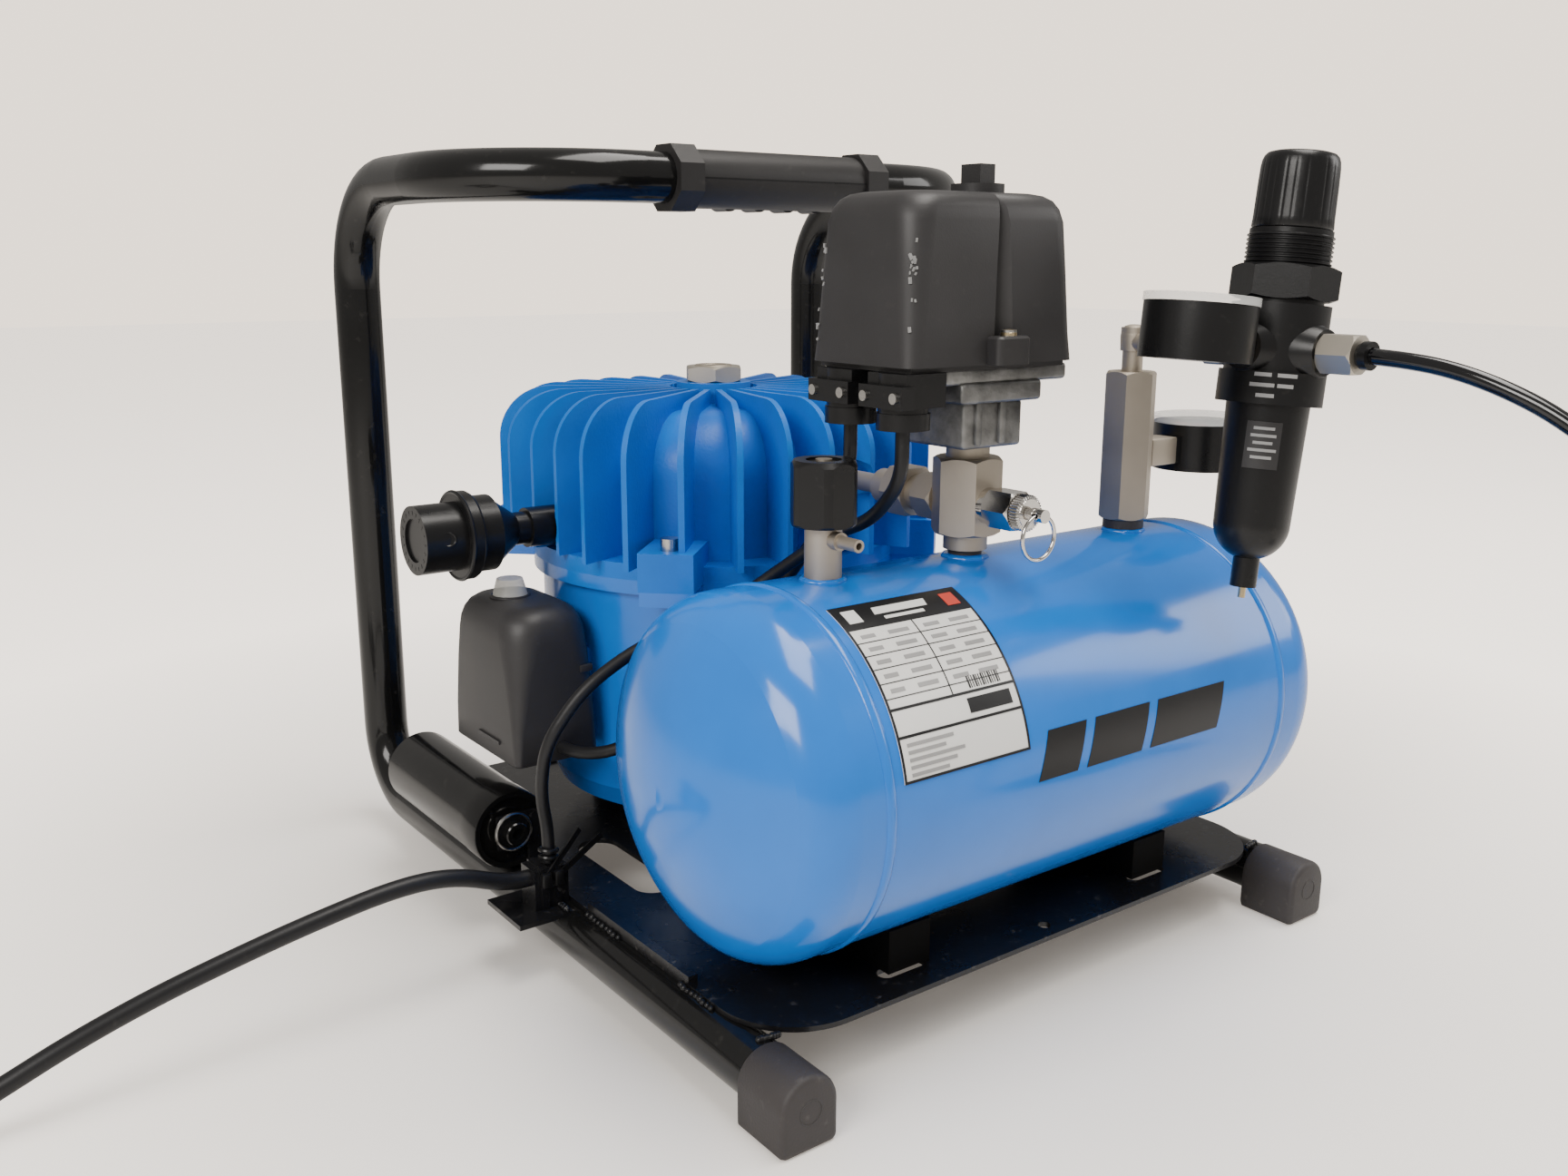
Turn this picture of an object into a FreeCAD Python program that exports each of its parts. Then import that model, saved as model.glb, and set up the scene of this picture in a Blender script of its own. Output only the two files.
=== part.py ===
"""Portable oil-lubricated air compressor: motor pump, four-litre tank and tube carrying frame.

Layout: X runs along the tank from the left foot's outer side, Y runs back from the front
feet's faces, Z rises from the floor. Every piece is placed in that layout and moved by
centre_x and centre_y, so that the origin is the bottom centre of the machine.
"""
import FreeCAD, Part
import math
import os
import re
import Sketcher
from FreeCAD import Placement, Rotation, Vector

DIMENSIONS = {
    # layout
    "centre_x": 139.75, "centre_y": 166.575,
    # carrying frame
    "tube_radius": 10.65, "tube_wall": 1.5, "left_rail_x": 10.5, "right_rail_x": 285.5,
    "rail_z": 15.85, "rail_front_y": 3, "upright_y": 360, "lower_bend": 34, "upper_bend": 48,
    "bar_z": 316, "bar_y": 210, "corner_bend": 68,
    "foot_width": 23.8, "foot_length": 26, "rear_pad_y": 298, "rear_pad_inset": 38,
    # base plate
    "plate_x": 9.5, "plate_length": 277, "plate_y": 19.5, "plate_width": 300, "plate_z": 26.5,
    "plate_thick": 2, "plate_corner": 32, "slot_y": 35, "slot_left_x": 79, "slot_right_x": 217,
    "slot_long": 14, "slot_radius": 3.5, "small_hole": 2.5,
    # grip
    "grip_x": 91.5, "grip_length": 114, "grip_radius": 12.4, "grip_collar": 27.5, "collar_length": 12,
    # tank
    "tank_radius": 67, "tank_wall": 2.5, "tank_y": 68.5, "tank_z": 104, "seam_left_x": 44,
    "seam_right_x": 255, "end_skirt": 12, "end_depth": 36, "end_knuckle": 22, "boss_radius": 7.5, "boss_lift": 1,
    "saddle_width": 20, "saddle_span": 70, "saddle_left_x": 72, "saddle_right_x": 207,
    "plate_label_x": 50, "plate_label_length": 58, "label_thick": 0.3,
    # tank fittings
    "outlet_x": 67.5, "manifold_x": 137.5, "column_x": 230.3, "washer_top_z": 174,
    "outlet_body_radius": 6.8, "outlet_top_z": 190.3, "outlet_knob_flats": 22, "knob_height": 23.5,
    "spigot_z": 186, "spigot_reach": 20, "spigot_radius": 2.3, "spigot_bore": 1.3,
    "block_flats": 24, "block_low_z": 180, "block_top_z": 209.5, "collar_radius": 8.5,
    "branch_z": 192, "switch_base_z": 215,
    "column_flats": 19, "column_low_z": 175.9, "column_top_z": 237.6, "leg_z": 250,
    # pressure switch
    "cover_x": 86, "cover_length": 83.5, "cover_y": 45, "cover_width": 57, "cover_z": 246,
    "cover_height": 60, "cover_wall": 2.5, "cover_corner": 11, "cover_round": 8,
    "dial_knob_x": 139.5, "dial_knob_y": 70, "gland_x": 93, "gland_front_y": 56, "gland_back_y": 85,
    # regulator
    "regulator_x": 231.5, "regulator_y": 2, "regulator_z": 249.5, "regulator_lean": 5.5,
    "body_radius": 18, "nut_flats": 34, "bonnet_radius": 15, "bowl_radius": 15.3,
    "gauge_radius": 20, "gauge_height": 23, "gauge_reach": 48, "low_gauge_z": 203,
    # motor
    "motor_x": 124, "motor_y": 222, "pot_radius": 80, "pot_low_z": 38, "pot_top_z": 152,
    "fin_half": 88, "fin_corner": 60, "fin_round": 24, "fin_low_z": 159, "fin_top_z": 226,
    "core_half": 66, "core_corner": 48, "core_round": 26, "core_top_z": 219, "fin_thick": 2.6,
    "fin_count": 26, "lug_reach": 103, "intake_z": 170.5, "intake_tip_x": -23.5,
    "shaft_radius": 8, "crank_throw": 6, "crank_z": 170, "piston_radius": 13,
    # electrical parts
    "relay_x": 3, "relay_depth": 39, "relay_y": 191, "relay_width": 61, "relay_z": 75,
    "relay_height": 66, "reset_x": 20, "reset_y": 226, "capacitor_x": 4, "capacitor_z": 44.8,
    "capacitor_y": 201, "capacitor_radius": 17, "capacitor_length": 96,
    "bracket_x": -17, "bracket_y": 152, "bracket_width": 30, "bracket_z": 24,
    # cables and hose
    "lead_radius": 3.5, "cable_radius": 2.6, "hose_radius": 3, "hose_bore": 2,
    "lead_coil_x": -277.3, "lead_coil_y": 224.9, "lead_coil_outer": 56, "lead_coil_inner": 27.3,
    "lead_coil_height": 14, "hose_coil_x": 334, "hose_coil_y": -180, "hose_coil_outer": 45,
    "hose_coil_inner": 23, "hose_coil_height": 12,
}

CLEARANCE = 0.05
SEAL = 0.3
ALONG = {
    "X": Rotation(Vector(0, 1, 0), 90),
    "Y": Rotation(Vector(1, 0, 0), -90),
    "Z": Rotation(),
}

doc = FreeCAD.newDocument("air_compressor")
sheet = doc.addObject("Spreadsheet::Sheet", "dims")
for row, (alias, number) in enumerate(DIMENSIONS.items(), start=1):
    sheet.set(f"A{row}", alias)
    sheet.set(f"B{row}", str(number))
    sheet.setAlias(f"B{row}", alias)
doc.recompute()

subparts = []
size = {alias: float(sheet.get(alias)) for alias in DIMENSIONS}


def bound(text):
    """An expression with each known word read from the sheet."""
    return re.sub(r"[a-z_]\w*", lambda word: f"dims.{word[0]}" if word[0] in size else word[0], str(text))


def worth(text):
    """The present value of an expression."""
    return float(sheet.evalExpression(bound(text)))


def bind(item, **properties):
    for name, text in properties.items():
        item.setExpression(name, bound(text))


def locate(item, x=0, y=0, z=0, along="Z", turn=None):
    """Place an item, with its own Z along the named direction."""
    item.Placement = Placement(Vector(), turn or ALONG[along])
    for letter, text in zip("xyz", (x, y, z)):
        item.setExpression(f".Placement.Base.{letter}", bound(text))
    return item


def box(length, width, height, x=0, y=0, z=0, turn=None):
    item = doc.addObject("Part::Box", "Block")
    bind(item, Length=length, Width=width, Height=height)
    return locate(item, x, y, z, turn=turn)


def rod(radius, length, x=0, y=0, z=0, along="Z"):
    item = doc.addObject("Part::Cylinder", "Rod")
    bind(item, Radius=radius, Height=length)
    return locate(item, x, y, z, along)


def taper(low_radius, top_radius, length, x=0, y=0, z=0, along="Z"):
    item = doc.addObject("Part::Cone", "Taper")
    bind(item, Radius1=low_radius, Radius2=top_radius, Height=length)
    return locate(item, x, y, z, along)


def ball(radius, x=0, y=0, z=0):
    item = doc.addObject("Part::Sphere", "Ball")
    bind(item, Radius=radius)
    return locate(item, x, y, z)


def hexagon(flats, length, x=0, y=0, z=0, along="Z", turn=None):
    item = doc.addObject("Part::Prism", "Hexagon")
    item.Polygon = 6
    bind(item, Circumradius=f"( {flats} ) / sqrt(3)", Height=length)
    return locate(item, x, y, z, along, turn)


def torus(ring_radius, wire_radius, x=0, y=0, z=0, along="Z"):
    item = doc.addObject("Part::Torus", "Ring")
    bind(item, Radius1=ring_radius, Radius2=wire_radius)
    return locate(item, x, y, z, along)


def join(*items):
    item = doc.addObject("Part::MultiFuse", "Joined")
    item.Shapes = list(items)
    item.Refine = True
    return item


def cut(base, *tools):
    for tool in tools:
        item = doc.addObject("Part::Cut", "Cut")
        item.Base = base
        item.Tool = tool
        base = item
    return base


def shared(first, second):
    item = doc.addObject("Part::Common", "Shared")
    item.Base = first
    item.Tool = second
    return item


def group(*items):
    """Separate pieces of one kind, kept as separate solids in one sub-part."""
    item = doc.addObject("Part::Compound", "Group")
    item.Links = list(items)
    return item


def solid(shape):
    item = doc.addObject("Part::Feature", "Formed")
    item.Shape = shape
    return item


def keep(label, item, x=0, y=0, z=0, turn=None):
    """Name a finished sub-part and seat it in the layout."""
    item.Label = label
    locate(item, f"{x} - centre_x", f"{y} - centre_y", z, turn=turn)
    subparts.append(item)
    return item


def origin_plane(body, role):
    return next(item for item in body.Origin.OriginFeatures if item.Role == role)


def outline(body, role, corners):
    """A closed sketch of straight sides through corners given as pairs of expressions."""
    sketch = body.newObject("Sketcher::SketchObject", "Outline")
    sketch.AttachmentSupport = [(origin_plane(body, role), "")]
    sketch.MapMode = "FlatFace"
    values = [[worth(text) for text in corner] for corner in corners]
    count = len(corners)
    for index in range(count):
        start = Vector(*values[index], 0)
        end = Vector(*values[(index + 1) % count], 0)
        sketch.addGeometry(Part.LineSegment(start, end), False)
    for index in range(count):
        sketch.addConstraint(Sketcher.Constraint("Coincident", index, 2, (index + 1) % count, 1))
    for index, corner in enumerate(corners):
        for kind, axis, text, number in zip(("DistanceX", "DistanceY"), (-2, -1), corner, values[index]):
            if abs(number) < 1e-9:
                sketch.addConstraint(Sketcher.Constraint("PointOnObject", index, 1, axis))
                continue
            place = sketch.addConstraint(Sketcher.Constraint(kind, index, 1, number))
            sketch.setExpression(f"Constraints[{place}]", bound(text))
    return sketch


def turned(*corners):
    """A turned body: a closed profile of radius and height pairs, revolved about Z."""
    body = doc.addObject("PartDesign::Body", "Turned")
    sketch = outline(body, "XZ_Plane", corners)
    revolve = body.newObject("PartDesign::Revolution", "Revolve")
    revolve.Profile = sketch
    revolve.ReferenceAxis = (sketch, ["V_Axis"])
    revolve.Angle = 360
    return body


def edges_that(shape, test):
    return [f"Edge{index}" for index, edge in enumerate(shape.Edges, start=1) if test(edge)]


def upright_edge(edge):
    first, last = edge.Vertexes[0].Point, edge.Vertexes[-1].Point
    return abs(first.x - last.x) < 1e-6 and abs(first.y - last.y) < 1e-6 and abs(first.z - last.z) > 1e-6


def moulding(length, width, height, corner, top_round=None):
    """A block with rounded upright edges and, where asked, a rounded top."""
    body = doc.addObject("PartDesign::Body", "Moulding")
    corners = ((0, 0), (length, 0), (length, width), (0, width))
    pad = body.newObject("PartDesign::Pad", "Pad")
    pad.Profile = outline(body, "XY_Plane", corners)
    bind(pad, Length=height)
    doc.recompute()
    sides = body.newObject("PartDesign::Fillet", "Sides")
    sides.Base = (pad, edges_that(pad.Shape, upright_edge))
    bind(sides, Radius=corner)
    doc.recompute()
    if top_round:
        level = sides.Shape.BoundBox.ZMax
        crown = body.newObject("PartDesign::Fillet", "Crown")
        names = edges_that(sides.Shape, lambda edge: edge.BoundBox.ZMin > level - 1e-4)
        crown.Base = (sides, names)
        bind(crown, Radius=top_round)
    return body


def tube_path(points, radii):
    """Straight runs through the points, joined by tangent arcs of the given radii."""
    points = [Vector(*point) for point in points]
    edges = []
    start = points[0]
    for before, corner, after, radius in zip(points, points[1:], points[2:], radii):
        back = (before - corner).normalize()
        ahead = (after - corner).normalize()
        half = back.getAngle(ahead) / 2
        reach = radius / math.tan(half)
        first = corner + back * reach
        last = corner + ahead * reach
        middle = corner + (back + ahead).normalize() * (radius / math.sin(half) - radius)
        edges.append(Part.LineSegment(start, first).toShape())
        edges.append(Part.Arc(first, middle, last).toShape())
        start = last
    edges.append(Part.LineSegment(start, points[-1]).toShape())
    return Part.Wire(edges)


def easy_radii(points):
    """The largest arc that each corner of a free cable's route allows."""
    points = [Vector(*point) for point in points]
    radii = []
    for before, corner, after in zip(points, points[1:], points[2:]):
        turn = math.pi - (before - corner).getAngle(after - corner)
        run = min((corner - before).Length, (after - corner).Length)
        radii.append(0.45 * run / math.tan(turn / 2))
    return radii


def swept(path, radius):
    start = path.Edges[0]
    circle = Part.Circle(start.valueAt(start.FirstParameter), start.tangentAt(start.FirstParameter), radius)
    return path.makePipe(Part.Face(Part.Wire([circle.toShape()])))


def cable(name, points, radius, bore=0):
    """A cable or hose along straight runs and tangent arcs, checked against its length."""
    radii = easy_radii(points)
    path = tube_path(points, radii)
    shape = swept(path, radius)
    if bore:
        shape = shape.cut(swept(path, bore))
    section = math.pi * (radius ** 2 - bore ** 2)
    print(f"{name}: length {path.Length:.1f} mm, radii", [round(value, 1) for value in radii])
    print(f"  volume over section times length {shape.Volume / (section * path.Length):.4f}")
    return solid(shape)


# ---------------------------------------------------------------- carrying frame

def frame_tube():
    """One bent steel tube: two rails, two uprights and the handle bar over the machine."""
    left, right = size["left_rail_x"], size["right_rail_x"]
    front, back, bar = size["rail_front_y"], size["upright_y"], size["bar_y"]
    low, high = size["rail_z"], size["bar_z"]
    points = [
        (left, front, low), (left, back, low), (left, back, high), (left, bar, high),
        (right, bar, high), (right, back, high), (right, back, low), (right, front, low),
    ]
    bends = [size["lower_bend"], size["upper_bend"], size["corner_bend"]]
    path = tube_path(points, bends + bends[::-1])
    outer = swept(path, size["tube_radius"])
    inner = swept(path, size["tube_radius"] - size["tube_wall"])
    keep("frame_tube", solid(outer.cut(inner)))


def rubber_feet():
    """Two D-shaped end caps on the front of the rails and two round pads under the rear of the plate."""
    pieces = []
    for rail in ("left_rail_x", "right_rail_x"):
        start = f"{rail} - foot_width / 2"
        cap = join(box("foot_width", "foot_length", "rail_z", start, 0, 0),
                   rod("foot_width / 2", "foot_length", rail, 0, "rail_z", "Y"))
        pieces.append(cut(cap, rod("tube_radius", "foot_length", rail, "rail_front_y", "rail_z", "Y")))
    for place in ("left_rail_x + rear_pad_inset", "right_rail_x - rear_pad_inset"):
        pieces.append(rod(12, "plate_z", place, "rear_pad_y", 0))
    keep("rubber_feet", group(*pieces))


def base_plate():
    """Pressed sheet welded on top of the rails, with slots, lightening holes and ribs."""
    sheet_metal = moulding("plate_length", "plate_width", "plate_thick", "plate_corner")
    locate(sheet_metal, "plate_x", "plate_y", "plate_z")
    deep = "plate_thick + 2"
    low = "plate_z - 1"
    tools = [rod("small_hole", deep, "manifold_x + 9.5", 27, low)]
    for middle in ("slot_left_x", "slot_right_x"):
        tools.append(box("slot_long", "2 * slot_radius", deep,
                         f"{middle} - slot_long / 2", "slot_y - slot_radius", low))
        for side in ("-", "+"):
            tools.append(rod("slot_radius", deep, f"{middle} {side} slot_long / 2", "slot_y", low))
    for hole_x in (34, 214, 250):
        tools.append(box(18, 46, deep, hole_x, 150, low))
        tools.append(rod(9, deep, f"{hole_x} + 9", 150, low))
        tools.append(rod(9, deep, f"{hole_x} + 9", 196, low))
    ribs = [box(150, 5, 1.5, 70, rib_y, "plate_z + plate_thick") for rib_y in (304, 312)]
    ribs.append(box(4, 74, 3, "plate_x", 71, "plate_z + plate_thick"))
    keep("base_plate", join(cut(sheet_metal, *tools), *ribs))


def handle_grip():
    """Two moulded half shells closed round the handle bar, with a collar at each end."""
    body = join(rod("grip_radius", "grip_length", "grip_x", 0, 0, "X"),
                *[cut_octagon(start) for start in ("grip_x", "grip_x + grip_length - collar_length")],
                *[rod(5, 10, f"grip_x + {bump}", 0, "- grip_radius + 4.2", "Y") for bump in (34, 50, 66, 82)])
    sleeve = cut(body, rod("tube_radius", "grip_length + 2", "grip_x - 1", 0, 0, "X"))
    wide = "grip_length + 2"
    halves = []
    for low in ("0", "- 40"):
        half_space = box(wide, 60, 40, "grip_x - 1", -30, low)
        halves.append(shared(sleeve, half_space))
    keep("handle_grip", group(*halves), 0, "bar_y", "bar_z")


def cut_octagon(start):
    """One eight-sided collar of the grip."""
    item = doc.addObject("Part::Prism", "Octagon")
    item.Polygon = 8
    bind(item, Circumradius="grip_collar / 2 / cos(22.5 deg)", Height="collar_length")
    turn = ALONG["X"] * Rotation(Vector(0, 0, 1), 22.5)
    return locate(item, start, 0, 0, turn=turn)


def cord_bracket():
    """Tab welded to the left rail, with the tied saddle where the mains lead is anchored."""
    tab = cut(box("bracket_width - 2", "bracket_width", 2, "bracket_x", "bracket_y", "bracket_z"),
              rod("tube_radius", 60, "left_rail_x", 140, "rail_z", "Y"),
              box(40, 60, 20, "left_rail_x - 2", 140, 20))
    saddle = join(box(15, 12, 17, "bracket_x + 11", "bracket_y + 8", "bracket_z + 2"),
                  box(3, 13.4, 18.4, "bracket_x + 14", "bracket_y + 7.3", "bracket_z + 1.3"),
                  box(3, 13.4, 18.4, "bracket_x + 19.5", "bracket_y + 7.3", "bracket_z + 1.3"))
    keep("cord_bracket", join(tab, cut(saddle, rod("tube_radius", 60, "left_rail_x", 140, "rail_z", "Y"))))


# ---------------------------------------------------------------- tank

def dished_profile(inset):
    """Half section of a dished end: skirt, knuckle arc and crown arc, up to the axis."""
    rim = size["tank_radius"] - inset
    depth = size["end_depth"] - inset
    knuckle = size["end_knuckle"] - inset
    crown = (depth ** 2 - knuckle ** 2 + (rim - knuckle) ** 2) / (2 * (depth - knuckle))
    low = depth - crown
    lean = math.asin((rim - knuckle) / (crown - knuckle))

    def on_crown(angle):
        return Vector(low + crown * math.cos(angle), 0, crown * math.sin(angle))

    def on_knuckle(angle):
        return Vector(knuckle * math.cos(angle), 0, rim - knuckle + knuckle * math.sin(angle))

    quarter = math.pi / 2
    bend = Part.Arc(on_knuckle(quarter), on_knuckle((quarter + lean) / 2), on_knuckle(lean)).toShape()
    cap = Part.Arc(on_crown(lean), on_crown(lean / 2), on_crown(0)).toShape()
    start = Vector(-size["end_skirt"], 0, rim)
    skirt = Part.LineSegment(start, on_knuckle(quarter)).toShape()
    return start, [skirt, bend, cap], on_crown(0)


def tank_end(seam, side):
    """One dished end, hollow, its skirt ending on the seam."""
    outer_start, outer, outer_tip = dished_profile(0)
    inner_start, inner, inner_tip = dished_profile(size["tank_wall"])
    edges = outer + inner + [Part.LineSegment(outer_start, inner_start).toShape(),
                             Part.LineSegment(outer_tip, inner_tip).toShape()]
    section = Part.Face(Part.Wire(Part.__sortEdges__(edges)))
    dome = solid(section.revolve(Vector(), Vector(1, 0, 0), 360))
    turn = Rotation(Vector(0, 0, 1), 0 if side > 0 else 180)
    return locate(dome, f"{seam} + end_skirt * {side}", 0, 0, turn=turn)


def tank_ends():
    keep("tank_ends", group(tank_end("seam_left_x", -1), tank_end("seam_right_x", 1)), 0, "tank_y", "tank_z")


def tank_shell():
    """Rolled shell with three threaded seats along its top."""
    length = "seam_right_x - seam_left_x"
    outside = rod("tank_radius", length, "seam_left_x", 0, 0, "X")
    inside = rod("tank_radius - tank_wall", length, "seam_left_x", 0, 0, "X")
    seats = [rod("boss_radius", "tank_radius + boss_lift - 50", place, 0, 50)
             for place in ("manifold_x", "column_x")]
    bores = [rod(4, 40, place, 0, 50) for place in ("outlet_x", "manifold_x", "column_x")]
    shell = cut(join(outside, *seats), inside, *bores)
    keep("tank_shell", shell, 0, "tank_y", "tank_z")


def tank_saddles():
    """Two pressed saddles between the plate and the tank."""
    pieces = []
    for start in ("saddle_left_x", "saddle_right_x"):
        block = box("saddle_width", "saddle_span", 17, start, "tank_y - saddle_span / 2",
                    "plate_z + plate_thick")
        pieces.append(cut(block, rod("tank_radius", "saddle_width + 2", f"{start} - 1", "tank_y", "tank_z", "X")))
    keep("tank_saddles", group(*pieces))


def rating_plate():
    """Thin curved plate on the front shoulder of the shell."""
    outer = rod("tank_radius + label_thick", "plate_label_length", "plate_label_x", 0, 0, "X")
    ring = cut(outer, rod("tank_radius", "plate_label_length + 2", "plate_label_x - 1", 0, 0, "X"))
    sector = doc.addObject("Part::Cylinder", "Sector")
    bind(sector, Radius="tank_radius + 5", Height="plate_label_length", Angle=58)
    locate(sector, "plate_label_x", 0, 0, turn=Rotation(Vector(1, 0, 0), 201) * ALONG["X"])
    keep("rating_plate", shared(ring, sector), 0, "tank_y", "tank_z")


# ---------------------------------------------------------------- tank fittings

def nut_form(flats, length, x=0, y=0, z=0, along="Z", turn=None):
    """A hexagon with its corners bevelled at both ends."""
    corner = f"( {flats} ) / sqrt(3) + 0.1"
    bevel = turned((0, 0), (f"( {flats} ) / 2", 0), (corner, 1.2), (corner, f"{length} - 1.2"),
                   (f"( {flats} ) / 2", length), (0, length))
    return locate(shared(hexagon(flats, length), bevel), x, y, z, along, turn)


def tank_body():
    """A plain cylinder of the tank's outside, for fitting pieces to it."""
    return rod("tank_radius", "seam_right_x - seam_left_x", "seam_left_x", "tank_y", "tank_z", "X")


def fitting_washers():
    seat = "( tank_z + tank_radius + boss_lift )"
    pieces = []
    for place, radius, top in (("manifold_x", 6.5, "washer_top_z"), ("column_x", 8.5, "column_low_z")):
        height = f"{top} - {seat}"
        pieces.append(cut(rod(radius, height, place, "tank_y", seat), rod(4, 9, place, "tank_y", seat)))
    keep("fitting_washers", group(*pieces))


def outlet_valve():
    """Needle valve with a side spigot, and its six-sided knob."""
    tank_top = "( tank_z + tank_radius )"
    body = cut(rod("outlet_body_radius", f"outlet_top_z - {tank_top} + 3", "outlet_x", "tank_y", f"{tank_top} - 3"),
               tank_body())
    spigot = rod("spigot_radius", "spigot_reach", "outlet_x", "tank_y - spigot_reach", "spigot_z", "Y")
    root = rod(3.3, 5, "outlet_x", "tank_y - spigot_reach + 10", "spigot_z", "Y")
    thread = rod(4, 4, "outlet_x", "tank_y", f"{tank_top} - 4")
    stem = rod(3, "knob_height + 0.5", "outlet_x", "tank_y", "outlet_top_z")
    bore = rod("spigot_bore", 16, "outlet_x", "tank_y - spigot_reach", "spigot_z", "Y")
    keep("outlet_valve_body", cut(join(body, spigot, root, thread, stem), bore))
    rounding = turned((0, 0), (11.3, 0), (12.2, 1), (12.2, "knob_height - 2"), (10.8, "knob_height"),
                      (0, "knob_height"))
    knob = shared(hexagon("outlet_knob_flats + 0.6", "knob_height"), rounding)
    dish = rod(6.5, 3, 0, 0, "knob_height - 0.8")
    keep("outlet_valve_knob", cut(knob, dish, rod(3 + CLEARANCE, 30, 0, 0, -1)), "outlet_x", "tank_y",
         f"outlet_top_z + {SEAL}")


def manifold():
    """Hexagonal block on the tank, with the check valve behind and the safety valve in front."""
    block = join(
        rod(4, 8, "manifold_x", "tank_y", "washer_top_z - 8"),
        rod("collar_radius", "block_low_z - washer_top_z", "manifold_x", "tank_y", "washer_top_z"),
        nut_form("block_flats", "block_top_z - block_low_z", "manifold_x", "tank_y", "block_low_z"),
        rod("collar_radius - 0.2", "switch_base_z - block_top_z", "manifold_x", "tank_y", "block_top_z"))
    keep("manifold_block", block)
    back = "tank_y + block_flats / 2"
    valve = join(
        nut_form(17, 11, "manifold_x", back, "branch_z", "Y"),
        rod(7.2, 5, "manifold_x", f"{back} + 11", "branch_z", "Y"),
        nut_form(19, 12, "manifold_x", f"{back} + 16", "branch_z", "Y"),
        rod(7, 9, "manifold_x", f"{back} + 28", "branch_z", "Y"))
    pipe_start = f"{back} + 37"
    core_front = "motor_y - core_half"
    pipe = join(rod(4, f"{core_front} - ( {pipe_start} )", "manifold_x", pipe_start, "branch_z", "Y"),
                nut_form(14, 10, "manifold_x", f"{core_front} - 10", "branch_z", "Y"))
    keep("check_valve", join(valve, pipe))


def safety_valve():
    """Spring safety valve with a pull stem and its split ring."""
    front = "tank_y - block_flats / 2"
    body = join(
        rod(7, 3, "manifold_x", f"{front} - 3", "branch_z", "Y"),
        nut_form(14, 13.5, "manifold_x", f"{front} - 16.5", "branch_z", "Y"),
        rod(5.4, 5, "manifold_x", f"{front} - 21.5", "branch_z", "Y"))
    bore = rod(2 + CLEARANCE, 18, "manifold_x", f"{front} - 21.5", "branch_z", "Y")
    keep("safety_valve_body", cut(body, bore))
    head = rod(2.5, 6, "manifold_x", f"{front} - 29", "branch_z", "Y")
    shank = rod(2, 14, "manifold_x", f"{front} - 23", "branch_z", "Y")
    eye = rod(1.5, 6, "manifold_x - 3", f"{front} - 26", "branch_z", "X")
    keep("safety_valve_stem", cut(join(head, shank), eye))
    ring = torus(8.3, 0.8, "manifold_x", f"{front} - 26", "branch_z - 8.3", "Y")
    keep("key_ring", group(ring))


# ---------------------------------------------------------------- pressure switch

def switch_base():
    """Die-cast body in steps, with the flat plate that closes the cover."""
    plate = box("cover_length - 7", "cover_width - 7", 2, "cover_x + 3.5", "cover_y + 3.5", "cover_z - 2")
    base = join(
        box(30, 36, 17, "manifold_x - 20", "tank_y - 18", "switch_base_z"),
        box(41, 46, 7, "manifold_x - 24", "tank_y - 21", "switch_base_z + 17"),
        box(62, 46, 5, "manifold_x - 31", "tank_y - 20", "switch_base_z + 24"), plate)
    keep("switch_base", base)


def switch_cover():
    """Moulded cover with a vee channel down its front and a screwed lug at the foot."""
    inner_x = "cover_length - 2 * cover_wall"
    shell = cut(moulding("cover_length", "cover_width", "cover_height", "cover_corner", "cover_round"),
                locate(moulding(inner_x, "cover_width - 2 * cover_wall", "cover_height - cover_wall",
                                "cover_corner - cover_wall", "cover_round - cover_wall"),
                       "cover_wall", "cover_wall", 0))
    post = box(14, 9, "cover_height - 3", 38, 1, 0)
    lug = box(16, 7, 10, 37, -6, 0)
    channel = box(7, 7, "cover_height", 45, -5, 10, turn=Rotation(Vector(0, 0, 1), 45))
    screw_way = rod(1.6, 12, 45, -2, -1)
    shaft_way = rod(3 + CLEARANCE, 10, "dial_knob_x - cover_x", "dial_knob_y - cover_y", "cover_height - 5")
    keep("switch_cover", cut(join(shell, post, lug), channel, screw_way, shaft_way), "cover_x", "cover_y", "cover_z")


def switch_mechanism():
    """Moulded carrier of the contacts and range spring, inside the cover."""
    block = join(box(60, 36, 26, 13, 13, 0), rod(9, 14, 26, 32, 26), rod(6, 12, 62, 38, 26))
    keep("switch_mechanism", cut(block, rod(3 + CLEARANCE, 40, "dial_knob_x - cover_x", "dial_knob_y - cover_y", 18)),
         "cover_x", "cover_y", "cover_z")


def switch_knob():
    """On and off knob, a disc with a raised grip and a shaft through the cover."""
    grip = box(7.5, 10, 7.2, -3.75, -5, 3)
    knob = join(rod(9.8, 3.2), grip, rod(3, 24, 0, 0, -24))
    keep("switch_knob", knob, "dial_knob_x", "dial_knob_y", f"cover_z + cover_height + {SEAL}")


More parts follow.
